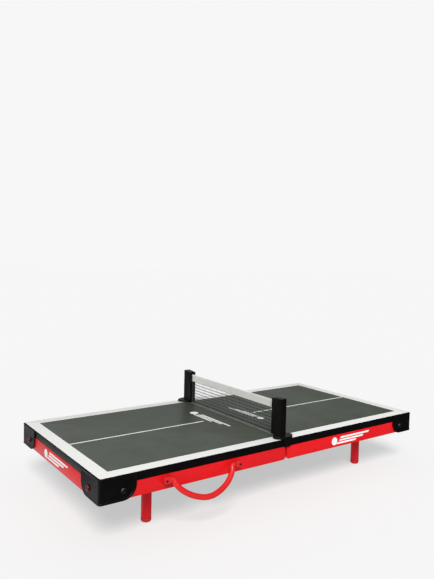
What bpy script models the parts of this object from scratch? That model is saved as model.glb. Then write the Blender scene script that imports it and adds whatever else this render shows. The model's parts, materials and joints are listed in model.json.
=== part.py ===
"""A small table-top table-tennis table that folds in half like a suitcase.

Metres, +Z up. X runs along the table, Y across it, and the net stands over
the seam at X = 0. The origin is on the floor, under the middle of the whole
footprint. The handle hangs on the -Y side of the left (-X) half.
"""

import math

import bmesh
import bpy
from mathutils import Matrix, Vector

# ---------------------------------------------------------------- sizes

# Gaps
FIT = 0.0003                # between pieces that touch on the real table
RUNNING = 0.0003            # round a pin or a tube that turns

# Table top
TABLE_LENGTH = 0.590
TABLE_WIDTH = 0.280
SURFACE_HEIGHT = 0.089      # playing surface above the floor
PANEL_THICKNESS = 0.0112
SEAM_GAP = 0.0016           # between the two panels
CORNER_RADIUS = 0.0025      # upright edges at the table's corners
TOP_EDGE_RADIUS = 0.0004

# Rails under the panels
RAIL_HEIGHT = 0.0192
RAIL_THICKNESS = 0.010
RAIL_GAP = 0.0032           # between the two seam rails, for the hinge leaves
SEAM_CORNER_RADIUS = 0.004  # lower rail corners at the seam

# Fold
FOLD_DROP = 0.0015          # fold axis below the rails
HINGE_INSET = 0.0625        # hinge centre from the table's side
HINGE_LENGTH = 0.040
HINGE_RISE = 0.015          # leaf top above the fold axis
LEAF_THICKNESS = 0.00095
KNUCKLE_RADIUS = 0.003
KNUCKLES = 5
KNUCKLE_GAP = 0.0004
PIN_RADIUS = 0.0012
PIN_HEAD_RADIUS = 0.0021
PIN_HEAD_THICKNESS = 0.0008

# Corner caps
CAP_WALL = 0.0015
CAP_SIDE_REACH = 0.048      # along the table's side, from the corner
CAP_END_REACH = 0.052       # along the table's end
CAP_SIDE_CUT = 0.018        # radius of the lower corner on the side
CAP_END_CUT = 0.017         # the same on the end
CAP_TOP_DROP = 0.0012       # cap's top edge below the playing surface
CAP_LIP = 0.0009            # thickness of the lip under the rails

# Cap screws
SCREW_INSET = 0.030         # from the table's corner
SCREW_DROP = 0.0195         # below the playing surface
SCREW_HEAD_RADIUS = 0.004
SCREW_HEAD_HEIGHT = 0.0018
SCREW_SHANK_RADIUS = 0.0015
SCREW_LENGTH = 0.009

# Legs
LEG_INSET_END = 0.088       # leg frame from the table's end
LEG_INSET_SIDE = 0.046     # leg from the table's side
LEG_RADIUS = 0.007
LEG_WALL = 0.0012
LEG_BEND = 0.014
LEG_PIVOT_DROP = 0.009      # cross tube's axis below the panel
FOOT_HEIGHT = 0.006         # foot below the end of the tube
FOOT_FLAT_RADIUS = 0.004
FOOT_SPIGOT = 0.010
CLIP_INSET = 0.042          # clip from the leg, towards the middle
CLIP_WIDTH = 0.012
CLIP_WALL = 0.0015
CLIP_FLANGE = 0.010
BATTEN_THICKNESS = 0.012
BATTEN_OVERHANG = 0.020     # batten past the legs
BATTEN_HEIGHT = 0.0165

# Carrying handle
HANDLE_SHIFT = 0.0035       # handle's middle from the middle of its rail
HANDLE_SPAN = 0.093
HANDLE_SAG = 0.0318
HANDLE_RADIUS = 0.00375
HANDLE_FULLNESS = 1.16      # 1 is an ellipse, more is slimmer at the ends
HANDLE_DROP = 0.0172        # pivot axis below the playing surface
HANDLE_STANDOFF = 0.0052    # pivot axis out from the rail
HANDLE_TILT = 28.0          # degrees out from hanging straight down
HANDLE_ELBOW = 0.0048
HANDLE_STUB_RADIUS = 0.0022
HANDLE_STUB_LENGTH = 0.0034
HANDLE_COLLAR = 0.0012      # straight part between the stub and the elbow
BOSS_WIDTH = 0.0085
BOSS_HEIGHT = 0.0086
BOSS_DEPTH = 0.0088
BOSS_EDGE_RADIUS = 0.0016
BOSS_SCREW_INSET = 0.0024   # screw from the boss's outer end
BOSS_SCREW_HEAD_RADIUS = 0.0016
BOSS_SCREW_HEAD_HEIGHT = 0.0008
BOSS_SCREW_SHANK_RADIUS = 0.0009
BOSS_SCREW_LENGTH = 0.015

# Net
NET_HEIGHT = 0.0516         # top of the tape above the playing surface
NET_CLEARANCE = 0.0020      # bottom cord above the playing surface
NET_THICKNESS = 0.0010
TAPE_HEIGHT = 0.012
TAPE_THICKNESS = 0.0016
NET_CORD_RADIUS = 0.0007
HEM_WIDTH = 0.0045
HEM_THICKNESS = 0.0020
HEM_IN_POST = 0.0030
POST_THICKNESS = 0.0105
POST_WIDTH = 0.021
POST_OUTER_INSET = 0.008   # post's outer face from the table's side
POST_HEIGHT = 0.0570        # outer top edge above the playing surface
POST_TOP_FLAT = 0.004
POST_TOP_FALL = 0.0015      # how far the top falls towards the net
BASE_HALF_LENGTH = 0.017
BASE_HALF_WIDTH = 0.0115
BASE_THICKNESS = 0.0030
SKIRT_WIDTH = 0.0140
SKIRT_THICKNESS = 0.0024
TONGUE_THICKNESS = 0.0008
TONGUE_LENGTH = 0.014

# Facets
ROUND_SIDES = 16
SMALL_SIDES = 12

# ---------------------------------------------------------------- places

HALF_LENGTH = TABLE_LENGTH / 2
HALF_WIDTH = TABLE_WIDTH / 2
PANEL_BOTTOM = SURFACE_HEIGHT - PANEL_THICKNESS
RAIL_TOP = PANEL_BOTTOM - FIT
RAIL_BOTTOM = RAIL_TOP - RAIL_HEIGHT
FOLD_HEIGHT = RAIL_BOTTOM - FOLD_DROP
CAP_OUT = FIT + CAP_WALL
LEG_X = HALF_LENGTH - LEG_INSET_END
LEG_Y = HALF_WIDTH - LEG_INSET_SIDE
LEG_PIVOT_HEIGHT = PANEL_BOTTOM - LEG_PIVOT_DROP
HANDLE_X = -HALF_LENGTH / 2 - HANDLE_SHIFT
HANDLE_HEIGHT = SURFACE_HEIGHT - HANDLE_DROP
HANDLE_Y = -HALF_WIDTH - HANDLE_STANDOFF
POST_OUTER_Y = HALF_WIDTH - POST_OUTER_INSET
POST_INNER_Y = POST_OUTER_Y - POST_WIDTH
POST_BOTTOM = SURFACE_HEIGHT + FIT + BASE_THICKNESS
TAPE_TOP = SURFACE_HEIGHT + NET_HEIGHT
TAPE_BOTTOM = TAPE_TOP - TAPE_HEIGHT

HANDLE_REACH = HANDLE_STANDOFF + HANDLE_SAG * math.sin(math.radians(HANDLE_TILT)) + HANDLE_RADIUS
BACK_REACH = CAP_OUT + FIT + SCREW_HEAD_HEIGHT
TABLE_Y = (HANDLE_REACH - BACK_REACH) / 2   # centres the footprint on the origin

LEFT = -1
RIGHT = 1
SIDES = {LEFT: "left", RIGHT: "right"}
FRONT = -1
BACK = 1
EDGES = {FRONT: "front", BACK: "back"}

# Colour, roughness, metallic
PLAYING_GREEN = ((0.030, 0.042, 0.036), 0.45, 0.0)
PAINTED_RED = ((0.74, 0.015, 0.017), 0.35, 0.0)
LEG_RED = ((0.40, 0.006, 0.012), 0.40, 0.0)
HANDLE_RED = ((0.88, 0.030, 0.030), 0.40, 0.0)
MOULDED_BLACK = ((0.012, 0.012, 0.012), 0.45, 0.0)
BARE_WOOD = ((0.45, 0.30, 0.17), 0.70, 0.0)
NET_BLACK = ((0.010, 0.010, 0.010), 0.80, 0.0)
TAPE_WHITE = ((0.62, 0.62, 0.60), 0.70, 0.0)
ZINC_STEEL = ((0.60, 0.60, 0.58), 0.30, 1.0)
BLACK_STEEL = ((0.020, 0.020, 0.020), 0.35, 1.0)
RED_RUBBER = ((0.33, 0.006, 0.012), 0.60, 0.0)

# ---------------------------------------------------------------- helpers

bodies = {}


def clear_scene():
    for item in list(bpy.data.objects):
        bpy.data.objects.remove(item, do_unlink=True)


def add_body(name, axis_point, parent=None):
    """Add an empty on a joint's axis; the pieces that turn there hang from it."""
    empty = bpy.data.objects.new("body_" + name, None)
    empty.empty_display_size = 0.02
    bpy.context.collection.objects.link(empty)
    empty.location = axis_point
    if parent:
        empty.location = axis_point - bodies[parent][1]
        empty.parent = bodies[parent][0]
    bodies[name] = (empty, axis_point)


def make_material(name, finish):
    colour, roughness, metallic = finish
    material = bpy.data.materials.new(name)
    material.use_nodes = True
    shader = material.node_tree.nodes["Principled BSDF"]
    shader.inputs["Base Color"].default_value = (*colour, 1.0)
    shader.inputs["Roughness"].default_value = roughness
    shader.inputs["Metallic"].default_value = metallic
    return material


def add_piece(name, bm, body, finish):
    """Make an object from a mesh in table coordinates and hang it on its body."""
    mesh = bpy.data.meshes.new(name)
    bmesh.ops.recalc_face_normals(bm, faces=bm.faces)
    bm.to_mesh(mesh)
    bm.free()
    mesh.materials.append(make_material(name, finish))
    mesh.shade_smooth()
    mesh.set_sharp_from_angle(angle=math.radians(35))
    piece = bpy.data.objects.new(name, mesh)
    bpy.context.collection.objects.link(piece)
    empty, axis_point = bodies[body]
    piece.parent = empty
    piece.location = -axis_point
    return piece


def combine(piece, tool_mesh, operation):
    """Cut, join or intersect a piece with a hidden tool."""
    mesh = bpy.data.meshes.new(piece.name + "_tool")
    bmesh.ops.recalc_face_normals(tool_mesh, faces=tool_mesh.faces)
    tool_mesh.to_mesh(mesh)
    tool_mesh.free()
    tool = bpy.data.objects.new(piece.name + "_tool", mesh)
    bpy.context.collection.objects.link(tool)
    tool.parent = piece
    tool.hide_render = True
    tool.display_type = "WIRE"
    step = piece.modifiers.new(operation.lower(), "BOOLEAN")
    step.operation = operation
    step.object = tool
    step.solver = "EXACT"


def box(x, y, z):
    """A box between two X, two Y and two Z values."""
    bm = bmesh.new()
    size = Vector((x[1] - x[0], y[1] - y[0], z[1] - z[0]))
    middle = Vector((x[0] + x[1], y[0] + y[1], z[0] + z[1])) / 2
    turn = Matrix.Translation(middle) @ Matrix.Diagonal((*size, 1))
    bmesh.ops.create_cube(bm, size=1, matrix=turn)
    return bm


def placed(u, v, w, axis):
    """Put an outline's point (u, v) at w along the axis that it is extruded on."""
    return Vector({"X": (w, u, v), "Y": (u, w, v), "Z": (u, v, w)}[axis])


def prism(outline, axis, low, high):
    """Extrude a closed outline along an axis."""
    bm = bmesh.new()
    face = bm.faces.new([bm.verts.new(placed(u, v, low, axis)) for u, v in outline])
    grown = bmesh.ops.extrude_face_region(bm, geom=[face])["geom"]
    moved = [v for v in grown if isinstance(v, bmesh.types.BMVert)]
    bmesh.ops.translate(bm, verts=moved, vec=placed(0, 0, high - low, axis))
    return bm


def arc(centre, radius, start, end, steps):
    """Points on an arc, from one angle to another in degrees."""
    turns = [math.radians(start + (end - start) * i / steps) for i in range(steps + 1)]
    return [(centre[0] + radius * math.cos(t), centre[1] + radius * math.sin(t)) for t in turns]


def round_edges(bm, radius, steps, direction, near):
    """Round the straight edges that run along a direction at the given coordinates."""
    along = "XYZ".index(direction)
    picked = []
    for edge in bm.edges:
        a, b = (v.co for v in edge.verts)
        across = [i for i in range(3) if i != along]
        straight = all(abs(a[i] - b[i]) < 1e-6 for i in across)
        here = all(abs(a["XYZ".index(k)] - value) < 1e-6 for k, value in near.items())
        if straight and here:
            picked.append(edge)
    bmesh.ops.bevel(bm, geom=picked, offset=radius, segments=steps, profile=0.5,
                    affect="EDGES", clamp_overlap=True)
    return bm


def turned(profile, sides, point, direction):
    """Turn a profile of (radius, height) points about a line from a point."""
    bm = bmesh.new()
    chain = [bm.verts.new((radius, 0, height)) for radius, height in profile]
    links = [bm.edges.new(pair) for pair in zip(chain, chain[1:])]
    bmesh.ops.spin(bm, geom=chain + links, cent=(0, 0, 0), axis=(0, 0, 1),
                   angle=math.tau, steps=sides, use_merge=False)
    bmesh.ops.remove_doubles(bm, verts=bm.verts, dist=1e-6)
    turn = Vector(direction).to_track_quat("Z", "Y").to_matrix().to_4x4()
    bmesh.ops.transform(bm, matrix=Matrix.Translation(point) @ turn, verts=bm.verts)
    return bm


def rod(radius, start, end, sides):
    """A plain round rod between two points."""
    start, end = Vector(start), Vector(end)
    length = (end - start).length
    profile = [(0, 0), (radius, 0), (radius, length), (0, length)]
    return turned(profile, sides, start, end - start)


def sweep_rings(bm, path, radii, normal, sides):
    """Rings of points round a path that lies in the plane square to the normal."""
    rings = []
    for i, (point, radius) in enumerate(zip(path, radii)):
        before = path[max(i - 1, 0)]
        after = path[min(i + 1, len(path) - 1)]
        side = normal.cross((after - before).normalized())
        ring = []
        for k in range(sides):
            turn = math.tau * k / sides
            offset = side * math.cos(turn) + normal * math.sin(turn)
            ring.append(bm.verts.new(point + radius * offset))
        rings.append(ring)
    for low, high in zip(rings, rings[1:]):
        for k in range(sides):
            after = (k + 1) % sides
            bm.faces.new((low[k], low[after], high[after], high[k]))
    return rings


def swept(path, radii, normal, sides, bore_radii=None):
    """A round bar along a path, or a tube where a bore is given."""
    bm = bmesh.new()
    outer = sweep_rings(bm, path, radii, normal, sides)
    if not bore_radii:
        bm.faces.new(outer[0])
        bm.faces.new(outer[-1])
        return bm
    inner = sweep_rings(bm, path, bore_radii, normal, sides)
    for wide, narrow in ((outer[0], inner[0]), (outer[-1], inner[-1])):
        for k in range(sides):
            after = (k + 1) % sides
            bm.faces.new((wide[k], wide[after], narrow[after], narrow[k]))
    return bm


def screw(head_radius, head_height, shank_radius, length, seat, outward):
    """A dome-head screw whose head starts at the seat and whose shank goes in."""
    rim = head_height * 0.3
    dome = [(head_radius * math.cos(t), rim + (head_height - rim) * math.sin(t))
            for t in (math.radians(d) for d in (0, 30, 60, 90))]
    profile = [(0, -length), (shank_radius, -length), (shank_radius, 0), (head_radius, 0)]
    profile += dome[:-1] + [(0, head_height)]
    return turned(profile, SMALL_SIDES, seat, outward)


def drill(pieces, radius, mouth, direction, depth):
    """Make one hole through every piece given."""
    direction = Vector(direction)
    start = Vector(mouth) - direction * 0.002
    for piece in pieces:
        combine(piece, rod(radius, start, start + direction * (depth + 0.002), SMALL_SIDES),
                "DIFFERENCE")


def ordered(a, b):
    return (min(a, b), max(a, b))


# ---------------------------------------------------------------- table halves

def make_panel(side):
    """A playing panel, with its upright corners and top edges eased."""
    x = ordered(side * SEAM_GAP / 2, side * HALF_LENGTH)
    bm = box(x, (-HALF_WIDTH, HALF_WIDTH), (PANEL_BOTTOM, SURFACE_HEIGHT))
    for edge in EDGES:
        round_edges(bm, CORNER_RADIUS, 4, "Z",
                    {"X": side * HALF_LENGTH, "Y": edge * HALF_WIDTH})
    rim = [e for e in bm.edges if all(v.co.z > SURFACE_HEIGHT - 1e-6 for v in e.verts)]
    bmesh.ops.bevel(bm, geom=rim, offset=TOP_EDGE_RADIUS, segments=2, profile=0.5,
                    affect="EDGES", clamp_overlap=True)
    return add_piece(SIDES[side] + "_playing_panel", bm, SIDES[side] + "_half", PLAYING_GREEN)


def make_side_rail(side, edge):
    """A long rail, flush with the panel; its lower seam corner clears the knuckles."""
    x = ordered(side * RAIL_GAP / 2, side * HALF_LENGTH)
    y = ordered(edge * HALF_WIDTH, edge * (HALF_WIDTH - RAIL_THICKNESS))
    bm = box(x, y, (RAIL_BOTTOM, RAIL_TOP))
    round_edges(bm, CORNER_RADIUS, 4, "Z", {"X": side * HALF_LENGTH, "Y": edge * HALF_WIDTH})
    round_edges(bm, SEAM_CORNER_RADIUS, 5, "Y", {"X": side * RAIL_GAP / 2, "Z": RAIL_BOTTOM})
    name = f"{SIDES[side]}_{EDGES[edge]}_rail"
    return add_piece(name, bm, SIDES[side] + "_half", PAINTED_RED)


def make_cross_rail(name, side, x, seam):
    """A short rail between the two long ones."""
    inner_y = HALF_WIDTH - RAIL_THICKNESS - FIT
    bm = box(ordered(*x), (-inner_y, inner_y), (RAIL_BOTTOM, RAIL_TOP))
    if seam:
        round_edges(bm, SEAM_CORNER_RADIUS, 5, "Y", {"X": x[0], "Z": RAIL_BOTTOM})
    return add_piece(name, bm, SIDES[side] + "_half", PAINTED_RED)


def cap_profile(corner, inward, reach, cut, low, high):
    """A cap face seen square on: full height at the corner, its lower inner corner cut round."""
    flat = reach - cut
    points = [(0.0, low)] + arc((flat, low + cut), cut, 270, 360, 6) + [(reach, high), (0.0, high)]
    return [(corner + inward * u, v) for u, v in points]


def make_cap(side, edge):
    """A moulded cap that wraps a corner of the table, with a lip under the rails."""
    corner_x = side * (HALF_LENGTH + CAP_OUT)
    corner_y = edge * (HALF_WIDTH + CAP_OUT)
    low = RAIL_BOTTOM - FIT - CAP_LIP
    high = SURFACE_HEIGHT - CAP_TOP_DROP
    side_reach = CAP_SIDE_REACH + CAP_OUT
    end_reach = CAP_END_REACH + CAP_OUT
    bm = box(ordered(corner_x, corner_x - side * side_reach),
             ordered(corner_y, corner_y - edge * end_reach), (low, high))
    round_edges(bm, CORNER_RADIUS + CAP_OUT, 5, "Z", {"X": corner_x, "Y": corner_y})
    cap = add_piece(f"{SIDES[side]}_{EDGES[edge]}_corner_cap", bm, SIDES[side] + "_half",
                    MOULDED_BLACK)
    past = 0.02
    frame = box(ordered(side * (HALF_LENGTH + FIT), side * (HALF_LENGTH - side_reach - past)),
                ordered(edge * (HALF_WIDTH + FIT), edge * (HALF_WIDTH - end_reach - past)),
                (RAIL_BOTTOM - FIT, high + past))
    round_edges(frame, CORNER_RADIUS + FIT, 5, "Z",
                {"X": side * (HALF_LENGTH + FIT), "Y": edge * (HALF_WIDTH + FIT)})
    combine(cap, frame, "DIFFERENCE")
    # Each profile stands a little proud of the corner and the top, so that no faces coincide.
    proud = 0.003
    side_view = cap_profile(corner_x + side * proud, -side, side_reach + proud, CAP_SIDE_CUT,
                            low - FIT, high + proud)
    combine(cap, prism(side_view, "Y", -HALF_WIDTH - past, HALF_WIDTH + past), "INTERSECT")
    end_view = cap_profile(corner_y + edge * proud, -edge, end_reach + proud, CAP_END_CUT,
                           low - FIT, high + proud)
    combine(cap, prism(end_view, "X", -HALF_LENGTH - past, HALF_LENGTH + past), "INTERSECT")
    return cap


def make_cap_screws(side, edge, cap, side_rail, end_rail):
    """Two screws hold each cap: one in the long rail and one in the end rail."""
    height = SURFACE_HEIGHT - SCREW_DROP
    name = f"{SIDES[side]}_{EDGES[edge]}"
    out = CAP_OUT + FIT
    places = (
        ("side", side_rail, Vector((0, edge, 0)),
         Vector((side * (HALF_LENGTH - SCREW_INSET), edge * (HALF_WIDTH + out), height))),
        ("end", end_rail, Vector((side, 0, 0)),
         Vector((side * (HALF_LENGTH + out), edge * (HALF_WIDTH - SCREW_INSET), height))),
    )
    for where, rail, outward, seat in places:
        drill((cap, rail), SCREW_SHANK_RADIUS + FIT, seat, -outward, SCREW_LENGTH + FIT)
        bm = screw(SCREW_HEAD_RADIUS, SCREW_HEAD_HEIGHT, SCREW_SHANK_RADIUS, SCREW_LENGTH,
                   seat, outward)
        add_piece(f"{name}_cap_{where}_screw", bm, SIDES[side] + "_half", BLACK_STEEL)


def make_half(side):
    make_panel(side)
    end_x = (side * (HALF_LENGTH - RAIL_THICKNESS), side * HALF_LENGTH)
    seam_x = (side * RAIL_GAP / 2, side * (RAIL_GAP / 2 + RAIL_THICKNESS))
    end_rail = make_cross_rail(SIDES[side] + "_end_rail", side, end_x, False)
    make_cross_rail(SIDES[side] + "_seam_rail", side, seam_x, True)
    rails = {}
    for edge in EDGES:
        rails[edge] = make_side_rail(side, edge)
        cap = make_cap(side, edge)
        make_cap_screws(side, edge, cap, rails[edge], end_rail)
    return rails


# ---------------------------------------------------------------- hinges

def knuckle_spans(middle):
    """The Y range of each knuckle of a hinge, from front to back."""
    pitch = HINGE_LENGTH / KNUCKLES
    start = middle - HINGE_LENGTH / 2
    return [(start + pitch * i + KNUCKLE_GAP / 2, start + pitch * (i + 1) - KNUCKLE_GAP / 2)
            for i in range(KNUCKLES)]


def make_leaf(side, edge):
    """A hinge leaf: a plate in the seam with fingers that end in its own knuckles."""
    middle = edge * (HALF_WIDTH - HINGE_INSET)
    first = 0 if side == LEFT else 1
    own = knuckle_spans(middle)[first::2]
    face_x = side * (RAIL_GAP / 2 - FIT)
    plate_x = ordered(face_x, face_x - side * LEAF_THICKNESS)
    web_bottom = FOLD_HEIGHT + KNUCKLE_RADIUS + RUNNING
    finger_bottom = FOLD_HEIGHT + PIN_RADIUS + 2 * RUNNING
    low_y = middle - HINGE_LENGTH / 2
    high_y = middle + HINGE_LENGTH / 2
    outline = [(high_y, web_bottom), (high_y, FOLD_HEIGHT + HINGE_RISE),
               (low_y, FOLD_HEIGHT + HINGE_RISE), (low_y, web_bottom)]
    for start, end in own:
        step = [(start, web_bottom), (start, finger_bottom),
                (end, finger_bottom), (end, web_bottom)]
        outline += [point for point in step if point not in outline]
    name = f"{EDGES[edge]}_hinge_{SIDES[side]}_leaf"
    leaf = add_piece(name, prism(outline, "X", *plate_x), SIDES[side] + "_half", ZINC_STEEL)
    for start, end in own:
        knuckle = rod(KNUCKLE_RADIUS, (0, start, FOLD_HEIGHT), (0, end, FOLD_HEIGHT), ROUND_SIDES)
        combine(leaf, knuckle, "UNION")
    bore = rod(PIN_RADIUS + RUNNING, (0, low_y - FIT, FOLD_HEIGHT),
               (0, high_y + FIT, FOLD_HEIGHT), ROUND_SIDES)
    combine(leaf, bore, "DIFFERENCE")


def make_hinge_pin(edge):
    """A pin with a small head at each end, held in the left leaf's knuckles."""
    middle = edge * (HALF_WIDTH - HINGE_INSET)
    half = HINGE_LENGTH / 2 + FIT
    head = half + PIN_HEAD_THICKNESS
    profile = [(0, -head), (PIN_HEAD_RADIUS, -head), (PIN_HEAD_RADIUS, -half),
               (PIN_RADIUS, -half), (PIN_RADIUS, half), (PIN_HEAD_RADIUS, half),
               (PIN_HEAD_RADIUS, head), (0, head)]
    bm = turned(profile, SMALL_SIDES, Vector((0, middle, FOLD_HEIGHT)), (0, 1, 0))
    add_piece(EDGES[edge] + "_hinge_pin", bm, "left_half", ZINC_STEEL)


def make_hinges():
    for edge in EDGES:
        make_leaf(LEFT, edge)
        make_leaf(RIGHT, edge)
        make_hinge_pin(edge)


# ---------------------------------------------------------------- legs

def make_leg_frame(side):
    """One tube bent into an upside-down U; its cross part is the pivot."""
    x = side * LEG_X
    tube_end = FOOT_HEIGHT + FIT
    bend = LEG_PIVOT_HEIGHT - LEG_BEND
    path = [(-LEG_Y, tube_end)]
    path += arc((-LEG_Y + LEG_BEND, bend), LEG_BEND, 180, 90, 6)
    path += arc((LEG_Y - LEG_BEND, bend), LEG_BEND, 90, 0, 6)
    path += [(LEG_Y, tube_end)]
    points = [Vector((x, y, z)) for y, z in path]
    outer = [LEG_RADIUS] * len(points)
    inner = [LEG_RADIUS - LEG_WALL] * len(points)
    bm = swept(points, outer, Vector((1, 0, 0)), ROUND_SIDES, inner)
    add_piece(SIDES[side] + "_leg_frame", bm, SIDES[side] + "_legs", LEG_RED)


def make_foot(side, edge):
    """A rubber foot with a spigot up into the leg; its underside is flat."""
    spigot = LEG_RADIUS - LEG_WALL - FIT
    curve = [(FOOT_FLAT_RADIUS + (LEG_RADIUS - FOOT_FLAT_RADIUS) * math.sin(t),
              FOOT_HEIGHT * 0.8 * (1 - math.cos(t)))
             for t in (math.radians(d) for d in (0, 22.5, 45, 67.5, 90))]
    profile = [(0, 0)] + curve + [(LEG_RADIUS, FOOT_HEIGHT), (spigot, FOOT_HEIGHT),
                                  (spigot, FOOT_HEIGHT + FOOT_SPIGOT),
                                  (0, FOOT_HEIGHT + FOOT_SPIGOT)]
    place = Vector((side * LEG_X, edge * LEG_Y, 0))
    bm = turned(profile, ROUND_SIDES, place, (0, 0, 1))
    add_piece(f"{SIDES[side]}_{EDGES[edge]}_foot", bm, SIDES[side] + "_legs", RED_RUBBER)


def make_clip(side, edge):
    """A saddle clip that holds the cross tube up against the panel."""
    x = side * LEG_X
    inner = LEG_RADIUS + RUNNING
    outer = inner + CLIP_WALL
    top = RAIL_TOP
    under = top - CLIP_WALL
    outline = [(x - outer - CLIP_FLANGE, top), (x - outer - CLIP_FLANGE, under), (x - outer, under)]
    outline += arc((x, LEG_PIVOT_HEIGHT), outer, 180, 360, 10)
    outline += [(x + outer, under), (x + outer + CLIP_FLANGE, under),
                (x + outer + CLIP_FLANGE, top), (x + inner, top)]
    outline += arc((x, LEG_PIVOT_HEIGHT), inner, 360, 180, 10)
    outline += [(x - inner, top)]
    middle = edge * (LEG_Y - CLIP_INSET)
    bm = prism(outline, "Y", middle - CLIP_WIDTH / 2, middle + CLIP_WIDTH / 2)
    add_piece(f"{SIDES[side]}_{EDGES[edge]}_leg_clip", bm, SIDES[side] + "_half", ZINC_STEEL)


def make_batten(side):
    """A cross batten behind the legs: they stand against it when they are out."""
    near = side * (LEG_X + LEG_RADIUS + RUNNING)
    x = ordered(near, near + side * BATTEN_THICKNESS)
    y = LEG_Y + BATTEN_OVERHANG
    bm = box(x, (-y, y), (RAIL_TOP - BATTEN_HEIGHT, RAIL_TOP))
    batten = add_piece(SIDES[side] + "_leg_stop_batten", bm, SIDES[side] + "_half", BARE_WOOD)
    clip_reach = LEG_RADIUS + RUNNING + CLIP_WALL + CLIP_FLANGE + FIT
    for edge in EDGES:
        middle = edge * (LEG_Y - CLIP_INSET)
        half = CLIP_WIDTH / 2 + FIT
        notch = box(ordered(side * (LEG_X - FIT), side * (LEG_X + clip_reach)),
                    (middle - half, middle + half),
                    (RAIL_TOP - CLIP_WALL - FIT, RAIL_TOP + 0.002))
        combine(batten, notch, "DIFFERENCE")
        bulge = box(ordered(side * LEG_X, side * (LEG_X + clip_reach - CLIP_FLANGE)),
                    (middle - half, middle + half), (RAIL_BOTTOM, RAIL_TOP + 0.001))
        combine(batten, bulge, "DIFFERENCE")


def make_legs(side):
    make_leg_frame(side)
    for edge in EDGES:
        make_foot(side, edge)
        make_clip(side, edge)
    make_batten(side)


# ---------------------------------------------------------------- handle

def handle_path():
    """The handle's centre line and radii, from stub to stub, in its tilted plane."""
    tilt = math.radians(HANDLE_TILT)
    down = Vector((0, -math.sin(tilt), -math.cos(tilt)))
    pivot = Vector((HANDLE_X, HANDLE_Y, HANDLE_HEIGHT))
    half = HANDLE_SPAN / 2
    start = math.asin((HANDLE_ELBOW / HANDLE_SAG) ** (1 / HANDLE_FULLNESS))
    steps = 18
    run = []
    for i in range(steps + 1):
        turn = start + (math.pi - 2 * start) * i / steps
        reach = math.copysign(abs(math.cos(turn)) ** HANDLE_FULLNESS, math.cos(turn))
        run.append((-half * reach, HANDLE_SAG * math.sin(turn) ** HANDLE_FULLNESS))
    elbow_x = run[0][0] - HANDLE_ELBOW
    shoulder = elbow_x - HANDLE_COLLAR
    elbow = arc((elbow_x, HANDLE_ELBOW), HANDLE_ELBOW, 270, 360, 4)[:-1]
    left = [(shoulder - HANDLE_STUB_LENGTH, 0.0), (shoulder, 0.0), (shoulder, 0.0)] + elbow
    right = [(-x, drop) for x, drop in reversed(left)]
    radii = [HANDLE_STUB_RADIUS] * 2 + [HANDLE_RADIUS] * (1 + len(elbow))
    radii = radii + [HANDLE_RADIUS] * len(run) + radii[::-1]
    path = [pivot + Vector((x, 0, 0)) + down * drop for x, drop in left + run + right]
    normal = Vector((1, 0, 0)).cross(down)
    return path, radii, normal, -shoulder


def make_handle():
    path, radii, normal, shoulder = handle_path()
    add_piece("carrying_handle", swept(path, radii, normal, SMALL_SIDES), "handle", HANDLE_RED)
    return shoulder


def make_handle_boss(side, shoulder, rail):
    """A moulded boss on the rail that one end of the handle turns in."""
    inner = HANDLE_X + side * (shoulder + FIT)
    outer = inner + side * BOSS_WIDTH
    back = -HALF_WIDTH - FIT
    low = HANDLE_HEIGHT - BOSS_HEIGHT / 2
    bm = box(ordered(inner, outer), (back - BOSS_DEPTH, back), (low, low + BOSS_HEIGHT))
    for z in (low, low + BOSS_HEIGHT):
        round_edges(bm, BOSS_EDGE_RADIUS, 3, "X", {"Y": back - BOSS_DEPTH, "Z": z})
    name = f"handle_{SIDES[side]}_boss"
    boss = add_piece(name, bm, "left_half", HANDLE_RED)
    axis = Vector((0, HANDLE_Y, HANDLE_HEIGHT))
    start = axis + Vector((inner - side * 0.002, 0, 0))
    end = axis + Vector((inner + side * (HANDLE_STUB_LENGTH + FIT), 0, 0))
    combine(boss, rod(HANDLE_STUB_RADIUS + RUNNING, start, end, ROUND_SIDES), "DIFFERENCE")
    seat = Vector((outer - side * BOSS_SCREW_INSET, back - BOSS_DEPTH - FIT, HANDLE_HEIGHT))
    drill((boss, rail), BOSS_SCREW_SHANK_RADIUS + FIT, seat, (0, 1, 0), BOSS_SCREW_LENGTH + FIT)
    bm = screw(BOSS_SCREW_HEAD_RADIUS, BOSS_SCREW_HEAD_HEIGHT, BOSS_SCREW_SHANK_RADIUS,
               BOSS_SCREW_LENGTH, seat, Vector((0, -1, 0)))
    add_piece(f"handle_{SIDES[side]}_screw", bm, "left_half", BLACK_STEEL)


# ---------------------------------------------------------------- net

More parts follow.
